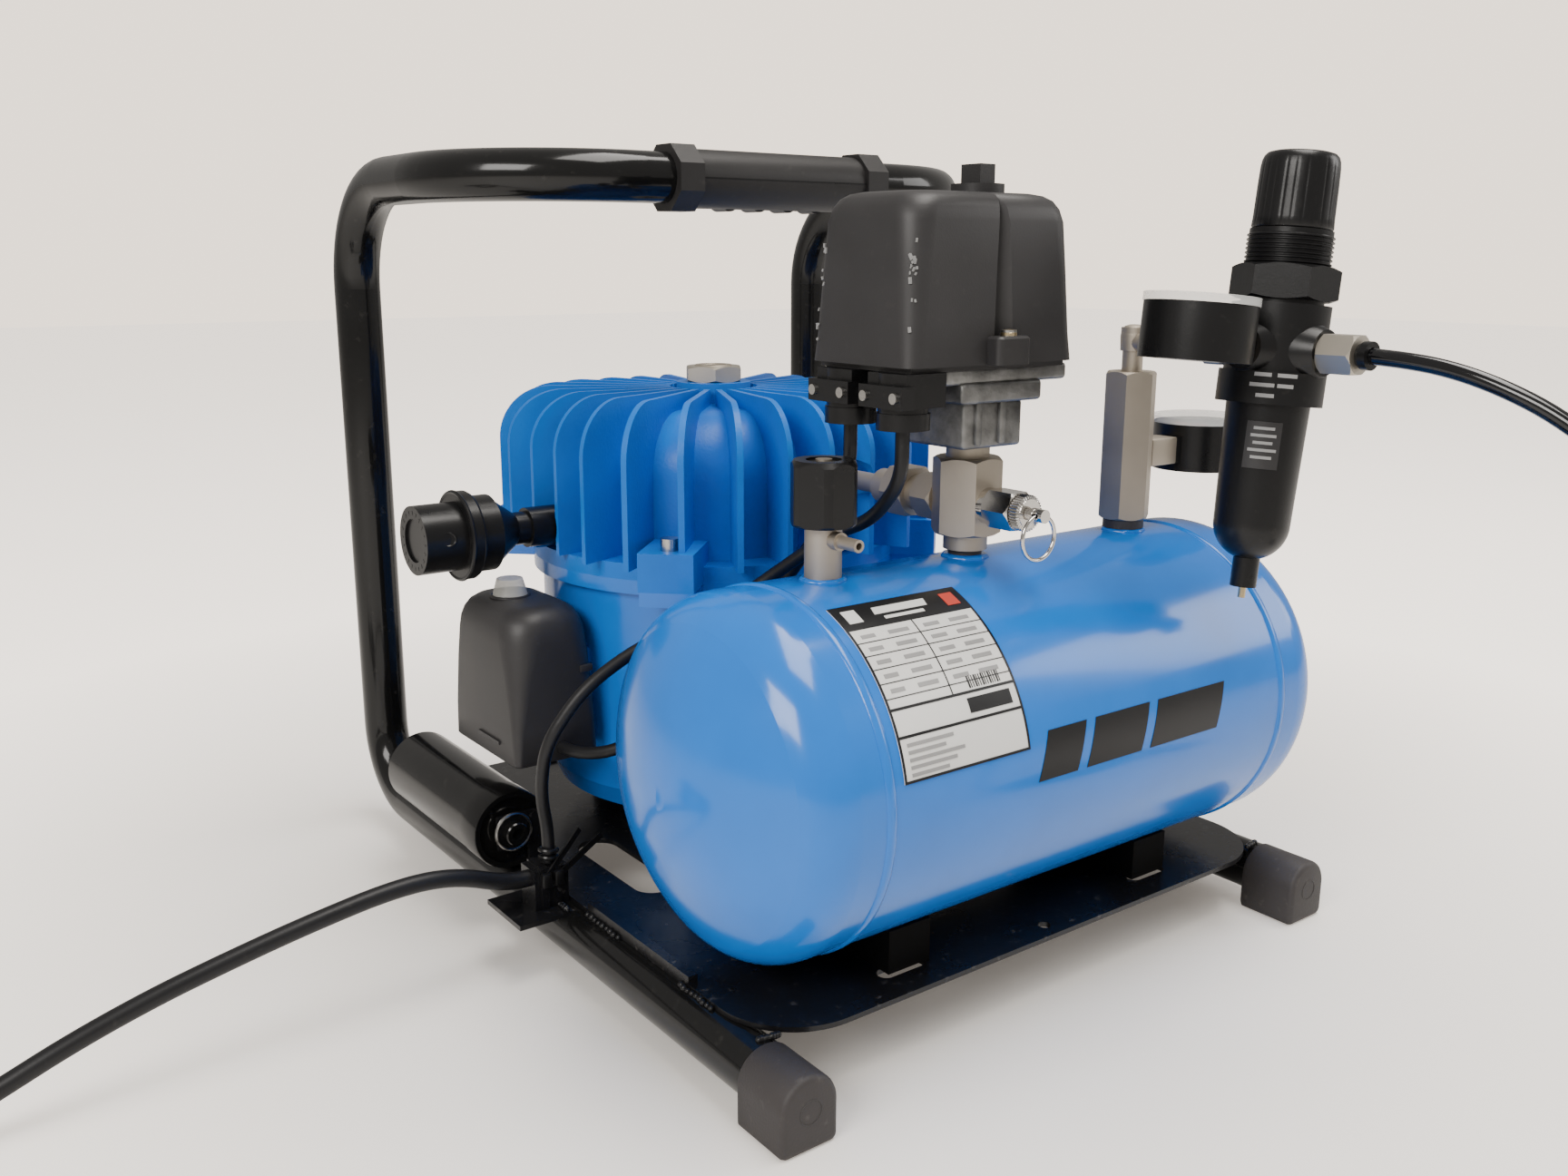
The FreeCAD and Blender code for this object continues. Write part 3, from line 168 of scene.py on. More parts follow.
BLUE = (0.002, 0.165, 0.64)
FINISHES = {
    "blue_gloss": dict(colour=BLUE, rough=0.20, coat=0.3, grain=500, bump=0.012, mottle=0.05, shine=0.4),
    "blue_cast": dict(colour=(0.001, 0.150, 0.58), rough=0.40, grain=700, bump=0.25, mottle=0.10, dust=0.12,
                      dust_colour=(0.06, 0.18, 0.40), shine=0.3),
    "black_gloss": dict(colour=(0.006, 0.006, 0.006), rough=0.17, coat=0.25, grain=350, bump=0.04, dust=0.05,
                        shine=0.25),
    "black_sheet": dict(colour=(0.008, 0.008, 0.009), rough=0.28, coat=0.1, grain=420, bump=0.12, dust=0.22,
                        shine=0.3),
    # painted shade: the tank saddles in near-black matt, to read as the shade under the tank
    "painted_shade_black": dict(colour=(0.004, 0.004, 0.004), rough=0.8, bump=0.05, shine=0.1),
    "black_satin": dict(colour=(0.026, 0.025, 0.026), rough=0.46, grain=1500, bump=0.08, dust=0.02,
                        shine=0.4),
    "black_moulded": dict(colour=(0.007, 0.007, 0.0075), rough=0.30, grain=1200, bump=0.06, dust=0.03,
                          shine=0.32),
    "black_grip": dict(colour=(0.016, 0.015, 0.015), rough=0.46, grain=2200, bump=0.15, dust=0.04,
                       shine=0.35),
    "rubber": dict(colour=(0.040, 0.036, 0.036), rough=0.55, grain=1100, bump=0.25, dust=0.12, shine=0.35),
    "cord": dict(colour=(0.008, 0.008, 0.009), rough=0.42, grain=900, bump=0.08, dust=0.04, shine=0.35),
    "hose": dict(colour=(0.004, 0.004, 0.005), rough=0.10, coat=0.4, grain=300, bump=0.02, shine=0.4),
    "nickel": dict(colour=(0.46, 0.41, 0.34), rough=0.55, metallic=1.0, grain=600, bump=0.03, mottle=0.10),
    "bright_nickel": dict(colour=(0.54, 0.50, 0.43), rough=0.46, metallic=1.0, grain=600, bump=0.03,
                          mottle=0.10),
    "chrome": dict(colour=(0.66, 0.64, 0.61), rough=0.14, metallic=1.0, grain=500, bump=0.03),
    "steel": dict(colour=(0.52, 0.51, 0.49), rough=0.28, metallic=1.0, grain=800, bump=0.08),
    "brass": dict(colour=(0.62, 0.50, 0.30), rough=0.30, metallic=1.0, grain=700, bump=0.08),
    "die_cast": dict(colour=(0.20, 0.20, 0.195), rough=0.46, metallic=0.85, grain=420, bump=0.6, mottle=0.40,
                     patch=110, dust=0.25),
    "cast_iron": dict(colour=(0.13, 0.13, 0.13), rough=0.6, metallic=0.6, grain=400, bump=0.5),
    "white_print": dict(colour=(0.76, 0.76, 0.74), rough=0.28, grain=300, bump=0.02, mottle=0.04),
    "black_print": dict(colour=(0.008, 0.008, 0.009), rough=0.30, grain=300, bump=0.02, shine=0.35),
    "grey_print": dict(colour=(0.30, 0.30, 0.30), rough=0.35, grain=300, bump=0.02),
    "scuff": dict(colour=(0.26, 0.26, 0.26), rough=0.6, grain=300, bump=0.3),
    "red_paint": dict(colour=(0.55, 0.05, 0.03), rough=0.35, grain=400, bump=0.02),
}
M = {name: material(name, **values) for name, values in FINISHES.items()}
M["lens"] = clear("lens", (0.92, 0.93, 0.92), rough=0.04, alpha=0.45)
M["clear_rubber"] = clear("clear_rubber", (0.66, 0.66, 0.62), rough=0.25, alpha=0.72)

NODE_FINISH = {
    "blue_gloss": ("tank_ends", "tank_shell", "motor_pot"),
    "blue_cast": ("finned_cover",),
    "black_gloss": ("frame_tube", "capacitor"),
    "black_sheet": ("base_plate", "cord_bracket", "capacitor_bracket"),
    # painted shade under the tank, on the saddles
    "painted_shade_black": ("tank_saddles",),
    "black_satin": ("switch_cover", "switch_knob", "relay_box", "switch_mechanism"),
    "black_moulded": ("gauge_cases", "outlet_valve_knob", "cable_glands", "intake_filter", "filter_cap",
                      "regulator_body", "regulator_bonnet", "regulator_nut", "regulator_knob",
                      "regulator_bowl", "hose_collet"),
    "black_grip": ("handle_grip",),
    "rubber": ("rubber_feet", "fitting_washers", "motor_mounts", "mains_plug"),
    "cord": ("switch_cables", "mains_cord", "mains_cord_coil"),
    "hose": ("air_hose", "air_hose_coil"),
    "nickel": ("outlet_valve_body", "manifold_block", "check_valve", "supply_column", "column_elbow",
               "hose_connector"),
    "bright_nickel": ("hose_fitting", "oil_plug"),
    "chrome": ("safety_valve_body", "safety_valve_stem", "key_ring"),
    "steel": ("cover_screws", "stator", "rotor", "piston", "regulator_spindle", "switch_screws"),
    "brass": ("drain_pin",),
    "die_cast": ("switch_base",),
    "cast_iron": ("cylinder_block",),
    "lens": ("gauge_lenses",),
    "clear_rubber": ("reset_button",),
    "white_print": ("rating_plate",),
    "red_paint": ("tank_gauge_needle", "outlet_gauge_needle"),
}


def finish_nodes():
    """Give every CAD node its material."""
    for name, nodes in NODE_FINISH.items():
        for node in nodes:
            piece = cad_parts[node]
            if not piece.material_slots:
                piece.data.materials.append(M[name])
            for slot in piece.material_slots:
                slot.link = "OBJECT"
                slot.material = M[name]


finish_nodes()


# ---------------------------------------------------------------- building helpers

def add_piece(name, data, finish, body="machine"):
    """A visible piece with its finish, carried by a body."""
    piece = bpy.data.objects.new(name, data)
    bpy.context.scene.collection.objects.link(piece)
    piece.data.materials.append(M[finish])
    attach(piece, body)
    return piece


def from_mesh(name, mesh, finish, body="machine", smooth=30):
    """A piece from a bmesh, smooth except over edges sharper than the given angle."""
    bmesh.ops.recalc_face_normals(mesh, faces=mesh.faces)
    for face in mesh.faces:
        face.smooth = True
    limit = math.radians(smooth)
    for edge in mesh.edges:
        if len(edge.link_faces) == 2 and edge.calc_face_angle() > limit:
            edge.smooth = False
    data = bpy.data.meshes.new(name)
    mesh.to_mesh(data)
    mesh.free()
    return add_piece(name, data, finish, body)


def add_skin(mesh, rings):
    """Faces between neighbouring rings of points, closed at both ends."""
    for one, two in zip(rings, rings[1:]):
        for index in range(len(one)):
            after = (index + 1) % len(one)
            mesh.faces.new((one[index], one[after], two[after], two[index]))
    mesh.faces.new(rings[0][::-1])
    mesh.faces.new(rings[-1])


def add_lathe(mesh, profile, seat=Matrix(), segments=64, wave=None):
    """Turn a closed profile of radius and height about local Z; wave bends the radius by angle."""
    rings = []
    for step in range(segments):
        angle = FULL_TURN * step / segments
        ring = []
        for radius, height in profile:
            reach = radius + (wave(angle, radius, height) if wave else 0)
            ring.append(mesh.verts.new(seat @ around(reach, angle, height)))
        rings.append(ring)
    count = len(profile)
    for step in range(segments):
        one, two = rings[step], rings[(step + 1) % segments]
        for index in range(count):
            after = (index + 1) % count
            mesh.faces.new((one[index], two[index], two[after], one[after]))
    bmesh.ops.remove_doubles(mesh, verts=mesh.verts, dist=1e-7)


def add_box(mesh, low, high, seat=Matrix(), round_by=0.0, steps=2):
    """A box between two corners, its edges rounded where that is asked for."""
    verts = bmesh.ops.create_cube(mesh, size=1)["verts"]
    low, high = Vector(low), Vector(high)
    for vert in verts:
        unit = vert.co + Vector((0.5, 0.5, 0.5))
        vert.co = seat @ Vector([a + (b - a) * u for a, b, u in zip(low, high, unit)])
    if round_by:
        edges = list({edge for vert in verts for edge in vert.link_edges})
        bmesh.ops.bevel(mesh, geom=edges, offset=round_by, segments=steps, affect="EDGES", profile=0.5)


def rounded_loft(mesh, levels, notch_at=None, steps=6):
    """A closed body through level rings of (height, low corner, high corner, corner radius, notch)."""
    rings = []
    for height, low, high, radius, notch in levels:
        corners = ((high[0] - radius, low[1] + radius, -90), (high[0] - radius, high[1] - radius, 0),
                   (low[0] + radius, high[1] - radius, 90), (low[0] + radius, low[1] + radius, 180))
        places = []
        if notch_at is not None:
            places += [(notch_at - notch, low[1]), (notch_at, low[1] + notch), (notch_at + notch, low[1])]
        for x, y, start in corners:
            for step in range(steps + 1):
                turn = math.radians(start + 90 * step / steps)
                places.append((x + radius * math.cos(turn), y + radius * math.sin(turn)))
        rings.append([mesh.verts.new(plan(x, y, height)) for x, y in places])
    add_skin(mesh, rings)


def ring_profile(ring, wire, steps=10):
    """The round section of a ring, for add_lathe."""
    turns = [FULL_TURN * step / steps for step in range(steps)]
    return [(ring + wire * math.cos(turn), wire * math.sin(turn)) for turn in turns]


# ---------------------------------------------------------------- cords

LEAD_WIDTH, HOSE_WIDTH = 0.007, 0.006
LEAD_ROUTE = [
    (-0.006, 0.166, 0.0385), (-0.015, 0.166, 0.0385), (-0.038, 0.163, 0.0495), (-0.062, 0.162, 0.0516),
    (-0.097, 0.162, 0.0465), (-0.126, 0.162, 0.0408), (-0.1505, 0.162, 0.0353), (-0.1765, 0.162, 0.0275),
    (-0.199, 0.1625, 0.0185), (-0.222, 0.164, 0.009), (-0.244, 0.1655, 0.0038), (-0.2667, 0.1682, 0.0037),
]
HOSE_ROUTE = [
    (0.2315, -0.025, 0.2495), (0.2315, -0.050, 0.2495), (0.234, -0.078, 0.244), (0.239, -0.106, 0.231),
    (0.246, -0.136, 0.205), (0.254, -0.162, 0.165), (0.262, -0.182, 0.118), (0.270, -0.198, 0.074),
    (0.281, -0.211, 0.036), (0.299, -0.218, 0.012), (0.317, -0.222, 0.0033),
]


STEPS_A_TURN = 16
CLIMB_TURNS = 0.35


def coil(middle, start, turns, outer, pitch, low, sense):
    """Points of two flat layers, wound inwards and then outwards over the first."""
    points = []
    for step in range(round(turns * STEPS_A_TURN) + 1):
        done = step / STEPS_A_TURN
        layer = done / turns * 2
        inward = layer if layer < 1 else 2 - layer
        radius = outer - pitch * inward * turns / 2
        rise = min(1, max(0, (layer - 1) * turns / 2 / CLIMB_TURNS + 0.5))
        angle = start + sense * FULL_TURN * done
        points.append(middle + around(radius, angle, low + pitch * rise))
    return points


def spline_piece(name, points, width, finish):
    """A round cord along a smooth line near its points."""
    data = bpy.data.curves.new(name, "CURVE")
    data.dimensions = "3D"
    data.bevel_depth = width / 2
    data.bevel_resolution = 6
    data.resolution_u = 8
    data.use_fill_caps = True
    line = data.splines.new("NURBS")
    line.points.add(len(points) - 1)
    for point, place in zip(line.points, points):
        point.co = (*place, 1)
    line.order_u = 3
    line.use_endpoint_u = True
    return add_piece(name, data, finish)


def mains_lead():
    """Mains lead: out of its tied saddle, across the floor, and the rest in a coil."""
    middle = plan(-0.2773, 0.2249, 0)
    turns = coil(middle, math.radians(256), 6.21, 0.0525, 0.0070, 0.0037, -1)
    tail = [middle + Vector((-0.0527, 0.012, 0.0108)), middle + Vector((-0.0527, 0.030, 0.0110))]
    points = [plan(*place) for place in LEAD_ROUTE] + turns + tail
    piece = spline_piece("mains_lead", points, LEAD_WIDTH, "cord")
    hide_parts("mains_cord", "mains_cord_coil")


def air_line():
    """Air hose: out of its push-in fitting, down to the floor, and the rest in a coil."""
    middle = plan(0.334, -0.180, 0)
    turns = coil(middle, math.radians(270), 5.25, 0.042, 0.0061, 0.0033, 1)
    tail = [middle + Vector((0.0420, 0.010, 0.0090)), middle + Vector((0.0420, 0.026, 0.0080))]
    points = [plan(*place) for place in HOSE_ROUTE] + turns + tail
    piece = spline_piece("air_line", points, HOSE_WIDTH, "hose")
    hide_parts("air_hose", "air_hose_coil")


mains_lead()
air_line()


# ---------------------------------------------------------------- tank details

TANK_Y, TANK_Z, TANK_RADIUS = 0.0685, 0.104, 0.067
TANK_MIDDLE = plan(0, TANK_Y, TANK_Z)
FILM = 0.00015


def tank_place(x, angle, lift=0.0):
    """A place on the tank's side: X in the layout, and the angle above its front."""
    reach = TANK_RADIUS + lift
    return Vector((x - CENTRE.x, TANK_MIDDLE.y - reach * math.cos(angle),
                   TANK_MIDDLE.z + reach * math.sin(angle)))


def tank_patch(mesh, x_low, x_high, low, high, lift, slant=0.0):
    """A thin curved patch on the tank between two angles in degrees; slant leans it along X."""
    steps = max(2, int(abs(high - low) / 2))
    rows = []
    for step in range(steps + 1):
        share = step / steps
        angle = math.radians(low + (high - low) * share)
        shift = slant * share
        rows.append([mesh.verts.new(tank_place(x + shift, angle, lift + up))
                     for x, up in ((x_low, 0), (x_high, 0), (x_high, FILM), (x_low, FILM))])
    add_skin(mesh, rows)


def tank_seams():
    """A low weld step round each end of the shell."""
    mesh = bmesh.new()
    for x in (0.044, 0.255):
        seat = turned_to((1, 0, 0), plan(x, TANK_Y, TANK_Z))
        profile = [(0.0665, -0.0022), (0.0672, -0.0020), (0.0677, -0.0008), (0.0677, 0.0008),
                   (0.0672, 0.0020), (0.0665, 0.0022)]
        add_lathe(mesh, profile, seat, 160)
    piece = from_mesh("tank_seams", mesh, "blue_gloss", smooth=60)


def tank_sockets():
    """A weld fillet round each fitting on top of the tank."""
    mesh = bmesh.new()
    for x, radius in ((0.0675, 0.0072), (0.1375, 0.0078), (0.2303, 0.0078)):
        seat = turned_to((0, 0, 1), plan(x, TANK_Y, 0.1706))
        add_lathe(mesh, ring_profile(radius, 0.0014), seat, 48,
                  wave=lambda angle, _radius, _height: 0.0003 * math.sin(9 * angle))
    piece = from_mesh("tank_sockets", mesh, "blue_gloss", smooth=80)


def label_print():
    """Print on the rating label: a dark head, ruled rows and plain bars where words would be."""
    dark, pale, grey, red = bmesh.new(), bmesh.new(), bmesh.new(), bmesh.new()
    left, right, low, high = 0.050, 0.108, 11.0, 69.0
    edge, edge_turn = 0.0009, 0.8
    top, over_head = 0.00032, 0.00052
    for x in (left, right - edge):
        tank_patch(dark, x, x + edge, low, high, top)
    for turn in (low, high - edge_turn, 23.5, 31.5):
        tank_patch(dark, left, right, turn, turn + edge_turn, top)
    tank_patch(dark, left, right, 58.5, high, top)
    tank_patch(pale, left + 0.016, left + 0.040, 63.0, 66.0, over_head, slant=0.0008)
    tank_patch(pale, left + 0.019, left + 0.037, 60.6, 61.8, over_head)
    tank_patch(red, right - 0.0095, right - 0.0035, 61.0, 66.5, over_head)
    tank_patch(pale, left + 0.0035, left + 0.0095, 61.0, 66.5, over_head)
    for row in range(5):
        turn = 35.0 + 4.6 * row
        tank_patch(dark, left, right, turn, turn + 0.25, top)
        for start, end in ((0.004, 0.010), (0.016, 0.025), (0.032, 0.039), (0.044, 0.053)):
            tank_patch(grey, left + start, left + end, turn + 1.6, turn + 2.9, top)
    tank_patch(dark, left + 0.0285, left + 0.0289, 31.5, 58.5, top)
    for bar in range(14):
        start = left + 0.037 + 0.0011 * bar
        tank_patch(dark, start, start + 0.0003 + 0.0003 * (bar % 3 == 0), 32.9, 36.6, top)
    tank_patch(dark, left + 0.034, left + 0.054, 25.8, 30.2, top)
    for row in range(5):
        turn = 12.6 + 2.1 * row
        tank_patch(grey, left + 0.0035, left + 0.020 + 0.004 * (row % 3), turn, turn + 1.0, top)
    for name, mesh, finish in (("label_dark_print", dark, "black_print"),
                               ("label_pale_print", pale, "white_print"),
                               ("label_grey_print", grey, "grey_print"),
                               ("label_red_mark", red, "red_paint")):
        from_mesh(name, mesh, finish)


def side_stripes():
    """Plain slanted stripes along the tank's side, in place of any name."""
    mesh = bmesh.new()
    for x, width in ((0.112, 0.020), (0.137, 0.030), (0.172, 0.040)):
        tank_patch(mesh, x, x + width, 0, 15, 0.00005, slant=0.006)
    from_mesh("side_stripes", mesh, "black_print")


tank_seams()
tank_sockets()
label_print()
side_stripes()


# ---------------------------------------------------------------- gauges and regulator

LEAN = math.radians(5.5)
REGULATOR_AXIS = Vector((math.sin(LEAN), 0, math.cos(LEAN)))
REGULATOR_MIDDLE = plan(0.2315, 0.002, 0.2495)


def on_regulator(height):
    """The regulator's leaning seat, its X axis kept near the machine's own."""
    return Matrix.Translation(REGULATOR_MIDDLE + REGULATOR_AXIS * height) @ Matrix.Rotation(LEAN, 4, "Y")


def gauge_dials():
    """White dials with a thin printed ring and plain ticks."""
    outlet_middle = REGULATOR_MIDDLE + Vector((-0.048 * math.cos(LEAN), 0, 0.048 * math.sin(LEAN)))
    seats = (turned_to((0, 0, 1), plan(0.2783, TANK_Y, 0.203 + 0.0075)),
             turned_to(REGULATOR_AXIS, outlet_middle + REGULATOR_AXIS * 0.0105))
    faces, ticks, rings = bmesh.new(), bmesh.new(), bmesh.new()
    for seat in seats:
        add_lathe(faces, [(0, 0.00005), (0.0183, 0.00005), (0.0183, 0.00025), (0, 0.00025)], seat, 64)
        for step in range(31):
            angle = math.radians(-135 + 9 * step)
            inner = 0.0125 if step % 5 == 0 else 0.0142
            turn = seat @ Matrix.Rotation(angle, 4, "Z")
            add_box(ticks, (-0.0002, inner, 0.00025), (0.0002, 0.0162, 0.0004), turn)
        add_lathe(rings, [(0.0166, 0.00025), (0.0170, 0.00025), (0.0170, 0.0004), (0.0166, 0.0004)],
                  seat, 64)
    from_mesh("gauge_dials", faces, "white_print")
    from_mesh("gauge_ticks", ticks, "black_print")
    from_mesh("gauge_scale_rings", rings, "black_print")


def bonnet_thread():
    """Threads on the regulator's bonnet between the nut and the knob."""
    mesh = bmesh.new()
    low, high, pitch = 0.0312, 0.0438, 0.0016
    profile = [(0.0146, low)]
    turns = int((high - low) / pitch)
    for turn in range(turns):
        base = low + pitch * turn
        profile += [(radius, base + share * pitch)
                    for radius, share in ((0.0150, 0.1), (0.0157, 0.4), (0.0157, 0.6), (0.0150, 0.9))]
    profile += [(0.0146, high)]
    add_lathe(mesh, profile, on_regulator(0), 72)
    from_mesh("bonnet_thread", mesh, "black_moulded")


def regulator_knob():
    """The pressure knob: a smooth barrel with shallow flutes and a rounded top."""
    mesh = bmesh.new()
    profile = [(0.0042, 0.0443), (0.0143, 0.0443), (0.0147, 0.0450), (0.0145, 0.0480), (0.0143, 0.0600),
               (0.0141, 0.0665), (0.0138, 0.0688), (0.0132, 0.0704), (0.0122, 0.0714), (0.0108, 0.0718),
               (0.0042, 0.0718)]

    def flutes(angle, radius, height):
        on_side = 0.0455 < height < 0.0670 and radius > 0.014
        return -0.00018 * max(0, math.cos(24 * angle)) ** 3 if on_side else 0

    add_lathe(mesh, profile, on_regulator(0), 288, wave=flutes)
    add_lathe(mesh, [(0, 0.0712), (0.0046, 0.0712), (0.0046, 0.0718), (0, 0.0718)], on_regulator(0), 48)
    piece = from_mesh("smooth_knob", mesh, "black_moulded", "pressure_knob", smooth=50)
    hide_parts("regulator_knob")


def curved_plate(mesh, radius, turn_low, turn_high, low, high):
    """A thin plate bent round the regulator's axis between two bearings in degrees."""
    seat = on_regulator(0)
    steps = 12
    rows = []
    for step in range(steps + 1):
        angle = math.radians(turn_low + (turn_high - turn_low) * step / steps)
        rows.append([mesh.verts.new(seat @ around(reach, angle, height)) for reach, height in
                     ((radius, low), (radius, high), (radius + FILM, high), (radius + FILM, low))])
    add_skin(mesh, rows)


def regulator_label():
    """A plain dark plate on the bowl and bars on the collar where words would be."""
    plate, bars = bmesh.new(), bmesh.new()
    curved_plate(plate, 0.01530, -170, -122, -0.0440, -0.0265)
    for low, start, end in ((-0.0295, -160, -132), (-0.0322, -163, -129), (-0.0349, -159, -133),
                            (-0.0376, -165, -127), (-0.0403, -160, -132)):
        curved_plate(bars, 0.01550, start, end, low, low + 0.0011)
    for low, start, end in ((-0.0100, -164, -146), (-0.0138, -168, -142), (-0.0176, -160, -141),
                            (-0.0100, -140, -119), (-0.0138, -139, -122)):
        curved_plate(bars, 0.01952, start, end, low, low + 0.0014)
    from_mesh("bowl_label", plate, "black_satin")
    from_mesh("bowl_label_bars", bars, "grey_print")


def gauge_stems():
    """Bright square shanks between the gauges and what they screw into."""
    mesh = bmesh.new()
    add_box(mesh, plan(0.2400, 0.0628, 0.1973), plan(0.2560, 0.0742, 0.2087), round_by=0.0006)
    seat = on_regulator(0)
    add_box(mesh, (-0.0275, -0.0057, -0.0057), (-0.0215, 0.0057, 0.0057), seat, 0.0006)
    from_mesh("gauge_stems", mesh, "nickel")


def column_cap():
    """Rounded head of the column's elbow."""
    mesh = bmesh.new()
    profile = [(0, 0), (0.0052, 0), (0.0054, 0.0060), (0.0050, 0.0084), (0.0038, 0.0100),
               (0.0020, 0.0106), (0, 0.0107)]
    add_lathe(mesh, profile, turned_to((0, 0, 1), plan(0.2303, TANK_Y, 0.2460)), 40)
    from_mesh("column_cap", mesh, "nickel")


gauge_dials()
bonnet_thread()
regulator_knob()
regulator_label()
gauge_stems()
column_cap()


# ---------------------------------------------------------------- small details

def safety_valve_knurl():
    """Knurled band round the safety valve's end."""
    mesh = bmesh.new()
    seat = turned_to((0, -1, 0), plan(0.1375, 0.0400, 0.192))

    def knurl(angle, radius, _height):
        return 0.0003 * math.cos(36 * angle) if radius > 0.0060 else 0

    profile = [(0.0050, 0), (0.0066, 0.0004), (0.0066, 0.0042), (0.0050, 0.0046)]
    add_lathe(mesh, profile, seat, 288, wave=knurl)
    from_mesh("safety_valve_knurl", mesh, "chrome", smooth=50)


def foot_outline(inset):
    """A foot's outline from the front, with a flat base and a round top; inset draws it in."""
    half, middle, corner = 0.0116 - inset, 0.0155, 0.0022
    places = [(half - corner + corner * math.sin(math.radians(turn)),
               inset + corner - corner * math.cos(math.radians(turn))) for turn in range(0, 91, 18)]
    places += [(half * math.cos(math.radians(turn)), middle + half * math.sin(math.radians(turn)))
               for turn in range(0, 91, 9)]
    return places + [(-x, z) for x, z in reversed(places[:-1])]


def rubber_feet():
    """Smooth end caps with rounded fronts and a faint circle, and the two round rear pads."""
    mesh = bmesh.new()
    for rail in (0.0105, 0.2855):
        rings = []
        for back, inset in ((0.0, 0.0022), (0.0003, 0.0012), (0.0010, 0.0004), (0.0022, 0), (0.0250, 0),
                            (0.0260, 0.0008)):
            rings.append([mesh.verts.new(plan(rail + x, back, max(z, 0.0)))
                          for x, z in foot_outline(inset)])
        add_skin(mesh, rings)
        circle_seat = turned_to((0, -1, 0), plan(rail, 0.0, 0.0145))
        add_lathe(mesh, ring_profile(0.0044, 0.00022, 8), circle_seat, 40)
    for rail in (0.0485, 0.2475):
        add_lathe(mesh, [(0, 0), (0.0112, 0), (0.0120, 0.0008), (0.0120, 0.0265), (0, 0.0265)],
                  turned_to((0, 0, 1), plan(rail, 0.298, 0)), 48)
    piece = from_mesh("smooth_feet", mesh, "rubber", smooth=50)
    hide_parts("rubber_feet")


def weld_beads():
    """Short weld runs where the plate meets the rails, and the bracket meets its rail."""
    mesh = bmesh.new()
    count, height, stray = 9, 0.0268, 0.0004
    runs = (((0.0088, 0.0550), (0.0088, 0.0750)), ((0.0088, 0.1200), (0.0088, 0.1440)),
            ((0.0100, 0.0285), (0.0175, 0.0275)), ((0.2785, 0.0275), (0.2860, 0.0285)),
            ((0.2866, 0.1200), (0.2866, 0.1420)), ((0.0045, 0.1530), (0.0045, 0.1600)))
    for start, end in runs:
        for step in range(count):
            share = step / (count - 1)
            x = start[0] + (end[0] - start[0]) * share + random.uniform(-stray, stray)
            y = start[1] + (end[1] - start[1]) * share
            bmesh.ops.create_icosphere(mesh, subdivisions=2, radius=random.uniform(0.0011, 0.0016),
                                       matrix=Matrix.Translation(plan(x, y, height)))
    from_mesh("weld_beads", mesh, "black_sheet", smooth=80)


def cable_ties():
    """Heads and tails of the nylon ties that hold the lead and the cable on the bracket."""
    mesh = bmesh.new()
    for x, tail in ((-0.0015, (0.9, 0.25, 0.75)), (0.0040, (1.0, 0.1, 0.55))):
        add_box(mesh, plan(x - 0.0020, 0.1572, 0.0360), plan(x + 0.0020, 0.1600, 0.0420), round_by=0.0004)
        seat = turned_to(tail, plan(x, 0.1585, 0.0400))
        add_box(mesh, (-0.0004, -0.0013, 0), (0.0004, 0.0013, 0.0240), seat)
    for height in (0.0460, 0.0490):
        seat = turned_to((0.15, 0.1, 1), plan(0.0030, 0.1650, height))
        add_lathe(mesh, ring_profile(0.0034, 0.0010, 8), seat, 32)
    from_mesh("cable_ties", mesh, "black_moulded")


def capacitor_end():
    """The capacitor's sleeve, bright spring ring and socket bolt on the near end."""
    sleeve, ring, bolt = bmesh.new(), bmesh.new(), bmesh.new()
    x, height = 0.004, 0.0448
    seat = turned_to((0, -1, 0), plan(x, 0.201, height))
    add_lathe(sleeve, [(0.0146, 0.0), (0.0168, 0.0003), (0.0173, -0.0008), (0.0173, -0.0140),
                       (0.0168, -0.0142), (0.0146, -0.0142)], seat, 96)
    add_lathe(ring, ring_profile(0.0079, 0.0008, 8), turned_to((0, -1, 0), plan(x, 0.1990, height)), 56)
    add_lathe(bolt, [(0, 0.0035), (0.0025, 0.0035), (0.0025, 0.0064), (0.0046, 0.0064), (0.0051, 0.0058),
                     (0.0051, 0.0020), (0, 0.0020)], seat, 32)
    from_mesh("capacitor_sleeve", sleeve, "black_gloss")
    from_mesh("capacitor_ring", ring, "steel")
    from_mesh("capacitor_bolt", bolt, "black_gloss")


def relay_box():
    """The relay box with its corners widening to the top, a foot slot and a rim under the boot."""
    mesh = bmesh.new()
    levels = []
    for height, inset, radius in (
            (0.0750, 0.0006, 0.0030), (0.0758, 0, 0.0032), (0.0900, 0, 0.0042), (0.1120, 0, 0.0085),
            (0.1260, 0, 0.0125), (0.1310, 0.0004, 0.0135), (0.1350, 0.0016, 0.0135),
            (0.1380, 0.0036, 0.0125), (0.1400, 0.0066, 0.0110), (0.1410, 0.0105, 0.0080)):
        levels.append((height, (0.003 + inset, 0.191 + inset), (0.042 - inset, 0.252 - inset), radius, 0))
    rounded_loft(mesh, levels)
    add_box(mesh, plan(0.0022, 0.2060, 0.0820), plan(0.0034, 0.2260, 0.0835))
    add_box(mesh, plan(0.0340, 0.1905, 0.1120), plan(0.0400, 0.1925, 0.1150), round_by=0.0004)
    add_lathe(mesh, ring_profile(0.0080, 0.0009, 8), turned_to((0, 0, 1), plan(0.020, 0.226, 0.1408)), 40)
    piece = from_mesh("shaped_relay_box", mesh, "black_satin", smooth=40)
    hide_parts("relay_box")


